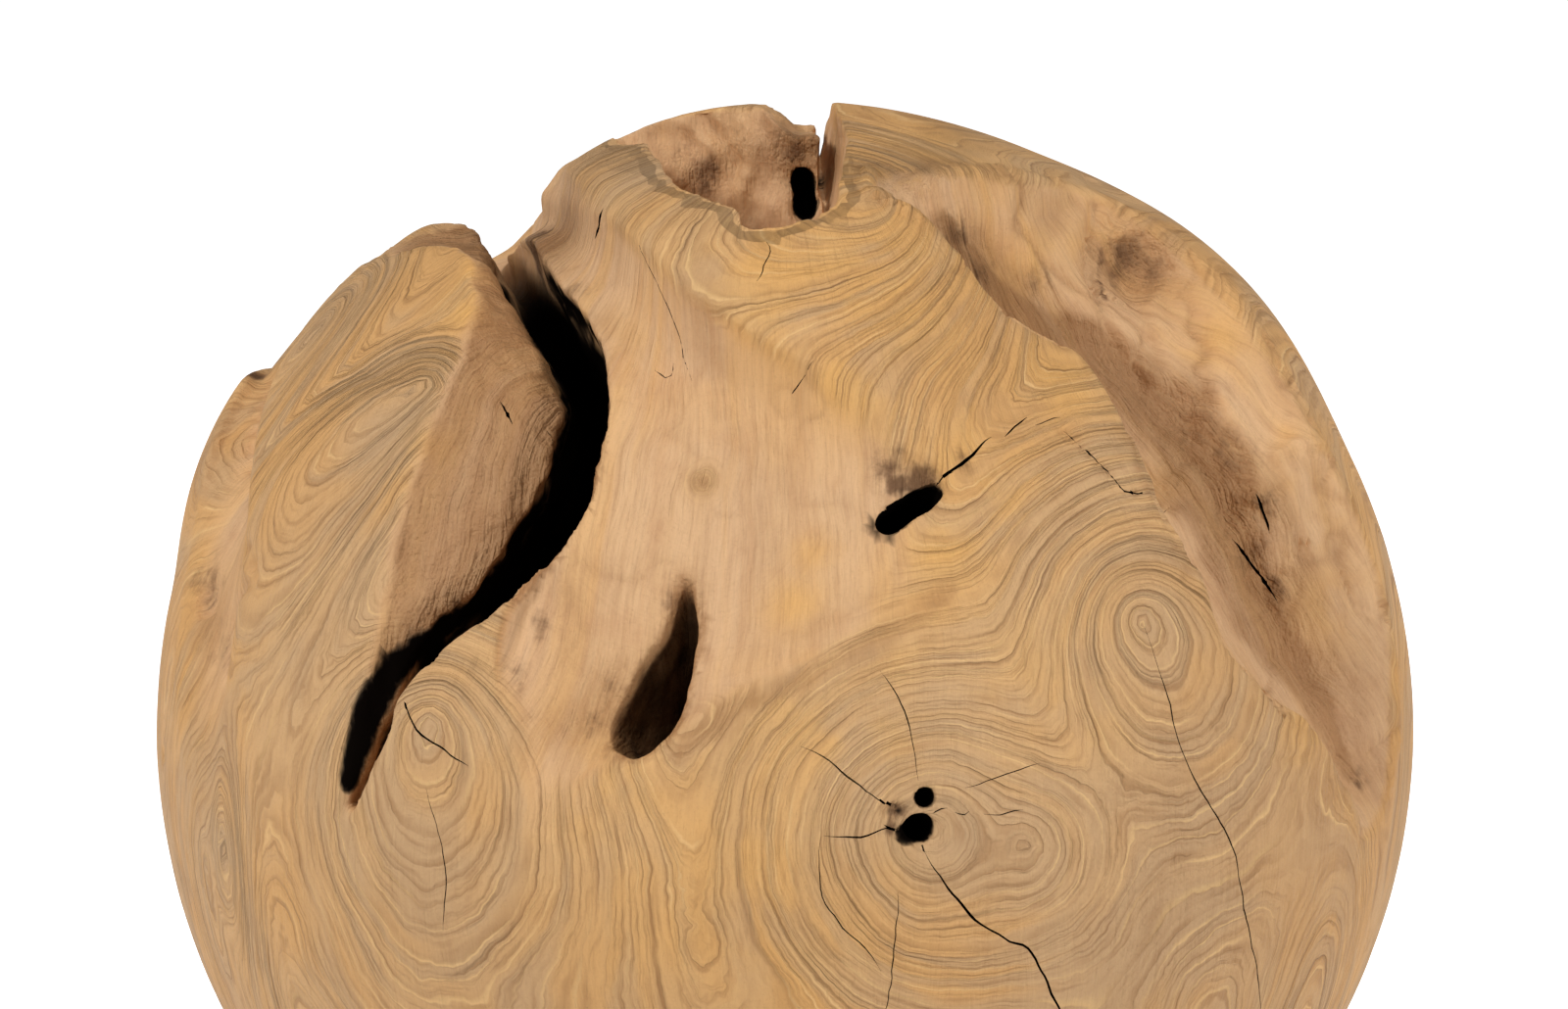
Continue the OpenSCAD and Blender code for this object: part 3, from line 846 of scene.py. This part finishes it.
# Places from which long streaks run up the ball between the knots.
SPINES = [(-64, -6), (-22, -30), (0, -40), (28, -34), (58, -22), (84, -12), (124, -30),
          (178, -25), (-128, 8), (-90, -5)]
print(len(EYES_SEEN) + len(EYES_BEHIND), "eyes and", len(SPINES), "spines")


# %% Rings about an eye
def flat_about(ways, eye):
    """Distances in mm to the right of and above an eye, as unrolled on the ball."""
    east = unit(np.cross([0, 0, 1.0], eye))
    north = np.cross(eye, east)
    angle = np.arccos(np.clip(ways @ eye, -1, 1))
    spread = BALL_R * angle / np.maximum(np.sin(angle), 1e-4)
    return (ways @ east) * spread, (ways @ north) * spread


def eye_field(ways, eye, scale, pull, turn, offset, narrow, bend=None):
    """The ring number of each place, as one eye alone would give it."""
    right, up = flat_about(ways, eye)
    if bend:
        right = right + bend[0] * (1 - np.exp(np.minimum(up, 0) / bend[1]))
    right = right / narrow
    along = right * math.cos(math.radians(turn)) + up * math.sin(math.radians(turn))
    return (np.hypot(right, up) - pull * along) * scale + offset


def low_of(fields, soft):
    """Soft minimum: the lowest of the fields, with rounded borders between them."""
    lowest = np.min(fields, axis=0)
    return lowest - soft * np.log(sum(np.exp(-(f - lowest) / soft) for f in fields))


# %% Ring number of every point
points = numbers(ball.data.vertices, "co")
ways = unit(points)
eyes = {n: (unit(seen(*place)[0]), *rest) for n, (place, *rest) in EYES_SEEN.items()}
eyes |= {n: (toward(*place), *rest) for n, (place, *rest) in EYES_BEHIND.items()}
fields = [eye_field(ways, *eye) for eye in eyes.values()]
for az, el in SPINES:
    right, up = flat_about(ways, toward(az, el))
    fields.append(np.hypot(right, up * np.where(up > 0, 0.42, 0.13)) + 22)
rings = low_of(fields, 9.0)
# Two sizes of noise keep the ovals from being perfect.
rings += 3.5 * noise(points, 55, 20) + 1.2 * noise(points, 21, 21)
print("rings run from", round(rings.min(), 1), "to", round(rings.max(), 1), "mm")

# %% [markdown]
# ## Masks
# A few more numbers at each point tell the material how deep in a hollow it is, where the wood
# is stained or torn, where shade and shadow are painted on in brown and black, and where gold
# highlights are painted on.

# %% Painted shade: the depths in mm between which each cut is painted dark
DARK_UNDER = {
    "hole": (1, 3.5), "slot": (20, 38), "core": (0.8, 3), "small_core": (0.8, 3),
    "opening": (0.8, 2.5), "opening_low": (0.8, 2.5), "pocket": (3, 14), "crown": (55, 75)}
depth = BALL_R - np.linalg.norm(points, axis=1)
dark = np.zeros(len(points))
for name, (start, end) in DARK_UNDER.items():
    here, under = member(name, points, 2.5)
    dark = np.maximum(dark, here * smoothstep(start, end, under + 1.5 * noise(points, 6, 31)))
here, under = member("gap", points, 2.5)
azimuth = np.degrees(np.arctan2(points[:, 0], -points[:, 1]))
# Painted shade: in front the gap is fully dark 7 mm under the skin, behind azimuth -72 only at 46
# mm.
ragged = under + 2.5 * noise(points, 7, 32) + 1.5 * noise(points, 3, 33)
front = smoothstep(-72, -62, azimuth + 4 * noise(points, 8, 35)) * smoothstep(3, 7, ragged)
dark = np.maximum(dark, here * np.maximum(front, smoothstep(26, 46, depth)))
print(round(100 * dark.mean(), 1), "% of the points are dark")

# %% Faces inside the cracks, painted black as their shade
NEAREST_INSIDE = 0.12
torn_open = np.zeros(len(ball.data.polygons), np.float32)
facing = numbers(ball.data.polygons, "normal")
for i, middle in enumerate(numbers(ball.data.polygons, "center")):
    hit, normal, _, gap = skin_tree.find_nearest(Vector(middle))
    torn_open[i] = (gap > NEAREST_INSIDE and (Vector(middle) - hit).dot(normal) < 0
                    and Vector(facing[i]).dot(normal) < 0.7)
ball.data.attributes.new("crack", "FLOAT", "FACE").data.foreach_set("value", torn_open)
print(int(torn_open.sum()), "faces lie inside cracks")

# %% [markdown]
# Stains, grey and gold patches are soft round spots; some stains are painted shadows and some
# golds painted highlights. Each has its place in the camera's frame, its size in mm and its
# strength. Long marks are paths of places, each with a half width in mm.

# %% Stains and tones
# Stains, and painted shadows at the gap's top, about the holes and on the low wall.
STAINS_AND_SHADOWS = [
    (1148, 262, 11, 1.0), (1172, 272, 9, 0.8), (1160, 290, 8, 0.5), (1225, 415, 10, 0.5),
    (1262, 460, 8, 0.6), (1290, 520, 5, 0.9), (1275, 570, 6, 0.9), (1300, 600, 6, 0.8),
    (1262, 520, 8, 0.5), (1340, 462, 4, 0.7), (1310, 470, 4, 0.5), (1352, 620, 5, 0.4),
    (215, 600, 9, 0.7), (258, 383, 5, 1.0), (903, 478, 5, 1.0), (917, 462, 3.5, 0.8),
    (940, 492, 5.5, 1.3), (918, 494, 4, 1.2), (979, 462, 4, 0.8), (985, 475, 3, 0.8),
    (922, 852, 4, 0.9), (918, 828, 3, 1.0), (926, 836, 3.2, 1.3), (908, 846, 2.6, 1.0),
    (546, 258, 10, 1.2), (560, 285, 9, 0.8), (585, 300, 7, 0.6), (655, 152, 3, 0.6),
    (812, 152, 7, 0.8), (830, 150, 6, 0.8), (716, 178, 8, 0.8), (752, 150, 6, 0.5),
    (1387, 795, 4, 0.9), (520, 690, 6, 0.5), (495, 690, 6, 0.4), (640, 745, 14, 0.6),
    (625, 700, 6, 0.5), (560, 640, 7, 0.4), (690, 610, 6, 0.7), (480, 610, 10, 0.35),
    (225, 660, 8, 0.5), (975, 240, 6, 0.9), (1000, 275, 7, 0.8), (1060, 285, 5, 0.6),
    (700, 215, 8, 0.3)]
GREYS = [
    (400, 440, 22, 0.8), (330, 560, 24, 0.7), (300, 680, 26, 0.5), (940, 838, 26, 1.0),
    (1170, 650, 26, 0.7), (1230, 800, 34, 0.6), (440, 760, 18, 0.6), (228, 870, 12, 1.0),
    (660, 175, 14, 0.9), (720, 215, 12, 0.6), (1200, 930, 40, 0.5), (470, 960, 34, 0.5),
    (330, 330, 18, 0.5)]
# Gold patches: partly golden wood, and partly painted highlights along lips and ridges.
GOLDS_AND_HIGHLIGHTS = [
    (850, 300, 40, 0.7), (1090, 400, 18, 0.8), (1000, 480, 18, 0.8), (480, 310, 9, 1.0),
    (850, 720, 26, 0.7), (620, 790, 22, 0.7), (1080, 700, 22, 0.6), (860, 400, 14, 0.8),
    (1330, 740, 10, 0.7), (420, 500, 7, 0.8), (1180, 500, 8, 0.7), (810, 618, 9, 0.9),
    (828, 566, 6, 0.8), (960, 560, 14, 0.8), (1040, 290, 16, 0.8), (1000, 180, 16, 0.5),
    (940, 145, 14, 0.5), (640, 330, 10, 0.4), (760, 345, 8, 0.6), (440, 455, 6, 0.8),
    (490, 280, 6, 0.8), (760, 900, 40, 0.5), (1060, 250, 14, 0.6), (930, 600, 20, 0.4),
    (1240, 350, 12, 0.8), (1290, 440, 13, 0.8), (1330, 520, 13, 0.8), (1105, 240, 14, 0.7),
    (1350, 620, 14, 0.7), (1190, 325, 8, 0.4)]
# Brown spots: some are brown wood, and many are painted shade, as on the turned-away lower right,
# in the crown and at the gap's top.
BROWNS_AND_SHADES = [
    (1160, 280, 14, 0.7), (740, 160, 18, 0.15), (818, 150, 12, 1.0), (700, 190, 9, 0.4),
    (560, 250, 15, 1.0), (625, 720, 12, 0.6), (590, 745, 10, 0.5), (215, 640, 8, 0.6),
    (205, 470, 10, 0.3), (1260, 880, 50, 0.22), (1330, 860, 50, 0.25), (1040, 350, 30, 0.25),
    (1370, 700, 20, 0.5), (1390, 790, 16, 0.5), (1330, 620, 14, 0.4), (1355, 805, 16, 0.5),
    (262, 382, 5, 1.0), (716, 492, 3.5, 0.8)]
SHADE = [
    (532, 568, 5), (498, 600, 5.5), (456, 637, 5.5), (426, 662, 5.5), (396, 692, 5),
    (380, 722, 4.5), (366, 760, 4), (356, 798, 3.5)]
# The valley floor's brown band, darkened also as the painted shadow of its ridge.
VALLEY_FLOOR_BROWN_AND_SHADOW = [
    (962, 228, 4), (985, 256, 6), (1012, 290, 7), (1052, 326, 9), (1100, 358, 10), (1145, 392, 13),
    (1190, 430, 17), (1225, 480, 18), (1245, 535, 16), (1265, 590, 15), (1298, 650, 12),
    (1332, 705, 9), (1360, 755, 6), (1376, 790, 3)]
# Painted shade along the crease at the trough's lower rim.
CREASE_SHADE = [
    (965, 605, 4), (930, 632, 6), (880, 666, 7), (830, 690, 7), (780, 708, 7), (730, 738, 6),
    (690, 772, 4)]
# Painted shadow of the fold along the upper left edge of the stain pocket.
STAIN_POCKET_SHADOW = [
    (1128, 304, 1.5), (1121, 280, 2.2), (1127, 258, 2.6), (1143, 246, 2.6), (1162, 246, 2.2),
    (1180, 256, 1.5)]
PEBBLED = [
    (1210, 900, 45, 1.0), (1240, 780, 20, 0.7), (920, 960, 18, 0.5), (340, 600, 24, 0.5)]
print(len(STAINS_AND_SHADOWS), "stains,", len(GREYS), "grey,", len(GOLDS_AND_HIGHLIGHTS), "gold,", len(BROWNS_AND_SHADES), "brown")


# %% Spots and paths on the wood
def patches(spots):
    """The strongest of some soft round spots at each point."""
    total = np.zeros(len(points))
    for x, y, size, strength in spots:
        far = np.linalg.norm(points - seen(x, y)[0], axis=1) / size
        total = np.maximum(total, strength * np.exp(-0.5 * (far * 1.2) ** 2))
    return total


def along_path(path, soft=0.4):
    """1 near a path of places and half widths, with a ragged border, 0 elsewhere."""
    spots = smoothed([[*seen(x, y)[0], width] for x, y, width in path], 8)
    best = np.full(len(points), 9.0)
    span = np.ptp(spots[:, :3], axis=0) / 2 + 30
    near = np.where((np.abs(points - spots[:, :3].mean(0)) < span).all(1))[0]
    for *spot, width in spots:
        best[near] = np.minimum(best[near], np.linalg.norm(points[near] - spot, axis=1) / width)
    # The border lies a little outside the half width, and two sizes of noise make it ragged.
    ragged = best + 0.22 * noise(points, (6, 6, 10), 34) + 0.2 * noise(points, (14, 14, 22), 36)
    return 1 - smoothstep(1.15 - soft, 1.15, ragged)


def keep(name, values):
    """Writes one number a point into the mesh, for the material."""
    ball.data.attributes.new(name, "FLOAT", "POINT").data.foreach_set(
        "value", np.ascontiguousarray(values, np.float32))


print("spots and paths are measured from", len(points), "points")

# %% [markdown]
# ## Where the fibres run
# Fibres run from the crown to the foot, as they did in the root. So each point keeps a second
# place for them alone: a turn about the ball, with a slight sway, and a height. At the crown
# all turns meet, so there that place blends back into the plain one.

# %% Fibre places
sway = 8 * noise(points, 70, 41) + 3 * noise(points, (26, 26, 40), 42) + noise(points, 11, 43)
turn = np.radians(azimuth) + sway / BALL_R
rise = np.arcsin(ways[:, 2])
around = np.stack([np.sin(turn), -np.cos(turn), rise], 1) * BALL_R
in_crown, _ = member("crown", points, 4)
upright = np.maximum(in_crown, smoothstep(0.94, 0.98, ways[:, 2]))[:, None]
grain_place = (around * (1 - upright) + (points + sway[:, None] * 0.4) * upright) * MM
ball.data.attributes.new("grain_place", "FLOAT_VECTOR", "POINT").data.foreach_set(
    "vector", grain_place.astype(np.float32).ravel())
print("fibre places reach", round(float(np.abs(grain_place).max()), 3), "m")

# %% [markdown]
# ## Bare wood and painted shade
# The hollows were never turned, so their wood is pinkish and hardly shows its rings. Brown is
# painted as shade into creases and along the sunken folds. It is also laid on the bare wall, in
# the teardrop pocket, and along the valley's floor, as brown wood and as the ridge's shadow.

# %% Hollow wood and painted shade
CREASE_SHADE_FULL = 2.6
TROUGH_EYE = [(717, 492, 5, 1.0)]
in_wall, _ = member("wall", points, 4)
in_valley, _ = member("valley", points, 6)
in_pocket, under = member("pocket", points, 3)
in_gap, _ = member("gap", points, 2.5)
edge_at = smoothstep(0.6, 2.0, depth)
bare = [smoothstep(2.0, 9, depth), in_wall * edge_at, in_valley * edge_at, in_crown * edge_at]
hollow_mask = np.maximum.reduce(bare) * (1 - patches(TROUGH_EYE))
# Painted shade: brown in the creases and along the sunken folds stands in for their shade.
crease_shade = 0.8 * creases(points) * np.maximum(in_valley, hollow_mask * 0.5)
for line, wide, height in folds:
    near, share = about_fold(points, line, wide * 0.7)
    if height < 0:
        crease_shade[near] = np.maximum(crease_shade[near], share * min(0.9, -height / CREASE_SHADE_FULL))
# Brown, partly painted shade: spots, the bare wall, the crease, the valley floor and the pocket.
brown = np.maximum.reduce([
    crease_shade * 0.7, patches(BROWNS_AND_SHADES), in_wall * smoothstep(0.5, 4, depth) * 0.9,
    along_path(CREASE_SHADE, 0.8) * 0.45, along_path(VALLEY_FLOOR_BROWN_AND_SHADOW, 0.6) * in_valley * 0.9,
    in_pocket * smoothstep(-1, 2, under)])
print(round(100 * (hollow_mask > 0.5).mean()), "% of the points lie in bare hollows")

# %% Numbers for the material
masks = {
    "rings": rings, "hollow": hollow_mask, "brown": brown,
    # Painted shade: the deep cuts, and the arm's shadow on the low wall, are made dark.
    "dark": np.maximum(dark, along_path(SHADE) * np.maximum(in_wall, in_gap)),
    # Stains together with painted shadows.
    "stain": np.maximum(patches(STAINS_AND_SHADOWS), along_path(STAIN_POCKET_SHADOW, 0.9) * 0.8),
    "grey": patches(GREYS), "gold": patches(GOLDS_AND_HIGHLIGHTS), "pebbled": patches(PEBBLED)}
for name, values in masks.items():
    keep(name, values)
print("masks:", ", ".join(masks))

# %% [markdown]
# ## A small language for materials
# A material is a net of nodes. Written node by node it hides its sums, so a wire here stands
# for a socket and understands plain arithmetic. Everything else is made by one method.

# %% Wires
class Wire:
    """A socket of a finish. Sums on wires add Math nodes."""

    def __init__(self, finish, socket):
        self.finish, self.socket = finish, socket


def overload(sign, operation):
    """Gives wires one sign of arithmetic, with the wire before it or after it."""
    setattr(Wire, f"__{sign}__", lambda a, b: a.finish.math(operation, a, b))
    setattr(Wire, f"__r{sign}__", lambda a, b: a.finish.math(operation, b, a))


SIGNS = {"add": "ADD", "sub": "SUBTRACT", "mul": "MULTIPLY", "truediv": "DIVIDE"}
for sign, operation in SIGNS.items():
    overload(sign, operation)
print("wires understand", ", ".join(SIGNS))


# %% Finishes
class Finish:
    """The node tree of a material or a world, and the one method that makes its nodes."""

    def __init__(self, block):
        self.block = block
        block.use_nodes = True
        self.tree = block.node_tree
        self.tree.nodes.clear()

    def node(self, kind, settings=None, sockets=None, output=0):
        made = self.tree.nodes.new("ShaderNode" + kind)
        for key, value in (settings or {}).items():
            setattr(made, key, value)
        for key, value in (sockets or {}).items():
            if isinstance(value, Wire):
                self.tree.links.new(value.socket, made.inputs[key])
            else:
                made.inputs[key].default_value = value
        return Wire(self, made.outputs[output]) if made.outputs else None

    def math(self, operation, *values):
        return self.node("Math", {"operation": operation}, dict(enumerate(values)))

    def mask(self, name):
        """A number that was kept in the mesh."""
        return self.node("Attribute", {"attribute_name": name}, output=2)

    def mixed(self, share, first, second):
        return self.node("Mix", {"data_type": "RGBA"}, {0: share, 6: first, 7: second}, output=2)

    def ease(self, value, start, end, low=0.0, high=1.0):
        """Goes smoothly from low to high as a value goes from start to end."""
        return self.node("MapRange", {"interpolation_type": "SMOOTHSTEP"}, {
            "Value": value, "From Min": start, "From Max": end, "To Min": low, "To Max": high})

    def grain(self, place, scale, detail=2.0, rough=0.5):
        return self.node("TexNoise", {"noise_dimensions": "3D"}, {
            "Vector": place, "Scale": scale, "Detail": detail, "Roughness": rough})


def rgb(red, green, blue):
    """A colour written as on a screen, from 0 to 255, as the shader's own numbers."""
    c = np.array([red, green, blue]) / 255
    return (*np.where(c <= 0.04045, c / 12.92, ((c + 0.055) / 1.055) ** 2.4), 1.0)


print("a middle grey is", round(float(rgb(128, 128, 128)[0]), 3), "to the shader")

# %% [markdown]
# ## The wood's finish
# Teak root is matt. Its rings are thin brown lines on gold, its hollows are pinkish and full of
# fibre, and its deep places and cracks are painted black as shade. The rings come from the ring
# number of each point, bent by noise so that no line is drawn by a compass. Fibres are noise
# stretched along the grain.

# %% Rings
wood = Finish(bpy.data.materials.new("wood"))
place = wood.node("TexCoord", output=3)
place_mm = wood.node("Mapping", {}, {"Vector": place, "Scale": (1 / MM,) * 3})
broad_bend = wood.grain(place, 20, 2)
fine_bend = wood.grain(place, 95, 2, 0.6)
ring_at = wood.mask("rings") + (broad_bend - 0.5) * 6 + (fine_bend - 0.5) * 2.2
spacing = wood.node("TexNoise", {"noise_dimensions": "1D"}, {
    "W": ring_at, "Scale": 0.11, "Detail": 1.0})
ring_at = ring_at + (spacing - 0.5) * 9


def along_rings(length, across, detail=1.0):
    """Noise drawn out along the rings: its size along them and across them, in mm."""
    spot = wood.node("VectorMath", {"operation": "SCALE"}, {0: place_mm, "Scale": 1 / length})
    return wood.node("TexNoise", {"noise_dimensions": "4D"}, {
        "Vector": spot, "W": ring_at / across, "Scale": 1.0, "Detail": detail})


def ring_line(gap, start, finish_at):
    """Line that darkens slowly across a ring and ends sharply, as late wood does."""
    across = wood.math("FRACT", ring_at / gap)
    return wood.ease(across, start, finish_at) * wood.ease(across, 1.0, 0.94)


print("rings bend through", len(wood.tree.nodes), "nodes")

# %% Lines, bands and streaks
hollow_part = wood.mask("hollow")
on_skin = 1 - hollow_part * 0.9
line = ring_line(2.1, 0.62, 0.94) * wood.ease(along_rings(26, 8), 0.38, 0.66, 0.15, 1.0) * on_skin
light = ring_line(3.3, 0.78, 0.96) * wood.ease(along_rings(35, 12), 0.42, 0.62) * on_skin
heavy = ring_line(7.9, 0.78, 0.97) * wood.ease(along_rings(45, 25), 0.42, 0.62) * on_skin
band = wood.ease(along_rings(60, 6), 0.42, 0.6) * on_skin
streak = along_rings(16, 0.7, 2.0)
print("with their lines,", len(wood.tree.nodes), "nodes")

# %% Fibres and pores
FIBRE_STRETCH = (1, 1, 0.08)
grain_place = wood.node("Attribute", {"attribute_name": "grain_place"}, output=1)
stretch = wood.node("Mapping", {}, {"Vector": grain_place, "Scale": FIBRE_STRETCH})
fibre = wood.grain(stretch, 420, 3, 0.55)
fine_fibre = wood.grain(stretch, 1400, 2, 0.6)
broad_fibre = wood.grain(stretch, 130, 3)
speck = wood.grain(place, 1000, 2, 0.7)
print("fibres are", round(1 / FIBRE_STRETCH[2], 1), "times as long as wide")

# %% Stains, painted shadows and painted black shade
brown = wood.mask("brown")
stain = wood.mask("stain")
torn = wood.grain(stretch, 160, 4, 0.7) * 0.6 + wood.grain(place, 90, 4, 0.7) * 0.6
# Stains and painted shadows, torn ragged by noise.
stain_and_shadow_share = wood.ease(stain + (torn - 0.6) * 3.2, 0.3, 1.2, 0, 0.85) * wood.ease(stain, 0.05, 0.3)
# Painted shade: the deep places and the faces inside the cracks turn black.
painted_black_shade = wood.math("MAXIMUM", wood.mask("dark"), wood.mask("crack"))
print("with fibres and stains,", len(wood.tree.nodes), "nodes")

# %% [markdown]
# Colour is laid on like thin coats of glaze. Each coat has its share, which varies over the
# wood, and its tone. The order matters: the hollows' pink comes before the gold, partly painted
# highlight, that lies on some of them, and the stains with painted shadows and the painted black
# shade come last.

# %% Tones
TAN = rgb(212, 168, 117)
GOLD = rgb(213, 162, 102)
BRIGHT_GOLD = rgb(226, 171, 95)
GREY = rgb(192, 157, 118)
PINK = rgb(217, 176, 134)
ROSE = rgb(196, 148, 106)
BROWN = rgb(154, 109, 67)
LINE = rgb(146, 102, 60)
PALE = rgb(233, 192, 133)
FIBRE_BROWN = rgb(150, 102, 64)
PORE_BROWN = rgb(130, 88, 54)
STAIN_AND_SHADOW = rgb(88, 56, 32)
# The black of the painted shade in deep cuts and cracks.
BLACK = rgb(12, 8, 6)
print("the lightest tone is", [round(float(v), 2) for v in PALE[:3]])

# %% Coats of colour
coats = [
    (band * 0.6, GREY),
    (wood.mask("grey") * wood.ease(wood.grain(place, 30, 3), 0.3, 0.6, 0.5, 1), GREY),
    (hollow_part * wood.ease(wood.grain(stretch, 30, 2), 0.3, 0.6, 0.6, 1), PINK),
    (hollow_part * wood.ease(broad_fibre, 0.46, 0.7, 0, 0.4), ROSE),
    (hollow_part * wood.ease(wood.grain(stretch, 45, 3, 0.6), 0.5, 0.68, 0, 0.35), BRIGHT_GOLD),
    (hollow_part * wood.ease(wood.grain(place, 60, 4, 0.6), 0.48, 0.7, 0, 0.34), ROSE),
    # Gold, partly painted highlight on lips and ridges.
    (wood.mask("gold") * wood.ease(wood.grain(place, 34, 3), 0.35, 0.6, 0.1, 0.8), BRIGHT_GOLD),
    # Brown, partly painted shade.
    (brown * wood.ease(wood.grain(stretch, 60, 4, 0.6), 0.3, 0.6, 0.6, 1), BROWN),
    (wood.ease(streak, 0.45, 0.75, 0, 0.42) * on_skin, LINE),
    (light * 0.65, PALE),
    (line * 0.46, LINE),
    (heavy * 0.5, LINE),
    (wood.ease(fibre, 0.42, 0.72, 0, 0.2) * (0.35 + hollow_part * 0.65), FIBRE_BROWN),
    (wood.ease(fine_fibre, 0.45, 0.75, 0, 0.14) * (0.3 + hollow_part * 0.7), PORE_BROWN),
    (wood.ease(fine_fibre, 0.5, 0.25, 0, 0.1), PALE),
    (wood.ease(speck, 0.5, 0.8, 0, 0.14), PORE_BROWN),
    # Stains and painted shadows.
    (stain_and_shadow_share, STAIN_AND_SHADOW),
    # Painted shade, last of all.
    (painted_black_shade, BLACK)]
colour = wood.mixed(wood.ease(wood.grain(place, 9, 3, 0.6), 0.4, 0.6), TAN, GOLD)
for share, tone in coats:
    colour = wood.mixed(share, colour, tone)
print(len(coats), "coats of colour")

# %% Relief and gloss
pebbles = wood.grain(place, 330)
relief = (heavy * -0.6 + line * -0.3 + (streak - 0.5) * on_skin * 0.9 + (fibre - 0.5) * 0.8
          + (fine_fibre - 0.5) * 0.25 + (speck - 0.5) * 0.2
          + (broad_fibre - 0.5) * hollow_part * 2.0 + (torn - 0.6) * (brown + stain) * 5
          + (pebbles - 0.5) * wood.mask("pebbled") * 1.2)
bump = wood.node("Bump", {}, {"Strength": 1.0, "Distance": MM, "Height": relief})
roughness = 0.62 + (speck - 0.5) * 0.15 + stain * 0.1
shader = wood.node("BsdfPrincipled", {}, {
    "Base Color": colour, "Roughness": roughness, "Normal": bump, "Specular IOR Level": 0.25})
# A matt black shader paints the shade in deep places and cracks.
unlit = wood.node("BsdfDiffuse", {}, {"Color": BLACK})
wood.node("OutputMaterial", {}, {
    "Surface": wood.node("MixShader", {}, {0: painted_black_shade, 1: shader, 2: unlit})})
print("the wood's finish has", len(wood.tree.nodes), "nodes")

# %% The finished ball
SHARP_ANGLE = 42
points = (points + [0, 0, CENTRE_Z]) * MM
points[:, 2] = np.maximum(points[:, 2], 0)
ball.data.vertices.foreach_set("co", points.astype(np.float32).ravel())
ball.data.materials.clear()
ball.data.materials.append(wood.block)
ball.data.polygons.foreach_set("use_smooth", np.ones(len(ball.data.polygons), bool))
ball.data.set_sharp_from_angle(angle=math.radians(SHARP_ANGLE))
ball.data.update()
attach(ball, "root")
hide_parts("ball")
print("finished ball:", sum(len(p.vertices) - 2 for p in ball.data.polygons), "triangles")

# %% [markdown]
# ## Floor and light
# The ball stands on a pale studio floor. Seen by the camera, the floor and the sky behind it are
# white, and the floor still takes the ball's soft shadow. The sky lights the wood only a little:
# five soft lamps stand round it, the stronger two at its sides, so that the dents show.

# %% Floor
FLOOR_REACH = 14.0
GLOW = 0.85
corners = np.array([[-1, -1, 0], [1, -1, 0], [1, 1, 0], [-1, 1, 0]]) * FLOOR_REACH
floor_mesh = new_mesh("floor", corners, np.array([[0, 1, 2, 3]]))
floor = bpy.data.objects.new("floor", floor_mesh)
bpy.context.collection.objects.link(floor)
pale = Finish(bpy.data.materials.new("pale_floor"))
camera_ray, glossy_ray = pale.node("LightPath"), pale.node("LightPath", output=3)
matt = pale.node("BsdfPrincipled", {}, {"Base Color": rgb(236, 236, 236), "Roughness": 0.9})
no_glow = pale.node("Emission", {}, {"Strength": 0.0})
glow = pale.node("Emission", {}, {"Strength": GLOW})
shown = pale.node("MixShader", {}, {
    0: pale.math("MAXIMUM", camera_ray, glossy_ray), 1: no_glow, 2: glow})
pale.node("OutputMaterial", {}, {"Surface": pale.node("AddShader", {}, {0: matt, 1: shown})})
floor_mesh.materials.append(pale.block)
print("the floor is", 2 * FLOOR_REACH, "m wide")

# %% Lamps: azimuth and elevation about the ball, side in metres and watts
LAMP_DISTANCE = 2.5
LAMPS = {
    "key": (-48, 34, 0.5, 31), "side": (52, 16, 0.4, 25), "top": (20, 74, 0.9, 15),
    "right_rim": (108, 40, 1.0, 9), "left_rim": (-100, 40, 1.0, 9)}
ball_centre = Vector((0, 0, CENTRE_Z * MM))
for name, (az, el, side, watts) in LAMPS.items():
    light = bpy.data.lights.new(name, "AREA")
    light.shape, light.size, light.energy = "SQUARE", side, watts
    lamp = bpy.data.objects.new(name, light)
    bpy.context.collection.objects.link(lamp)
    lamp.location = Vector(toward(az, el) * LAMP_DISTANCE) + ball_centre
    lamp.rotation_euler = (lamp.location - ball_centre).to_track_quat("Z", "Y").to_euler()
print(len(LAMPS), "lamps,", sum(watts for *_, watts in LAMPS.values()), "W in all")

# %% Sky
SKY = 0.11
studio = Finish(bpy.data.worlds.new("studio"))
bpy.context.scene.world = studio.block
strength = SKY + studio.node("LightPath") * (1 - SKY)
studio.node("OutputWorld", {}, {
    "Surface": studio.node("Background", {}, {"Color": (1, 1, 1, 1), "Strength": strength})})
bpy.context.scene.view_settings.view_transform = "Standard"
print("the sky gives", SKY, "to the wood")
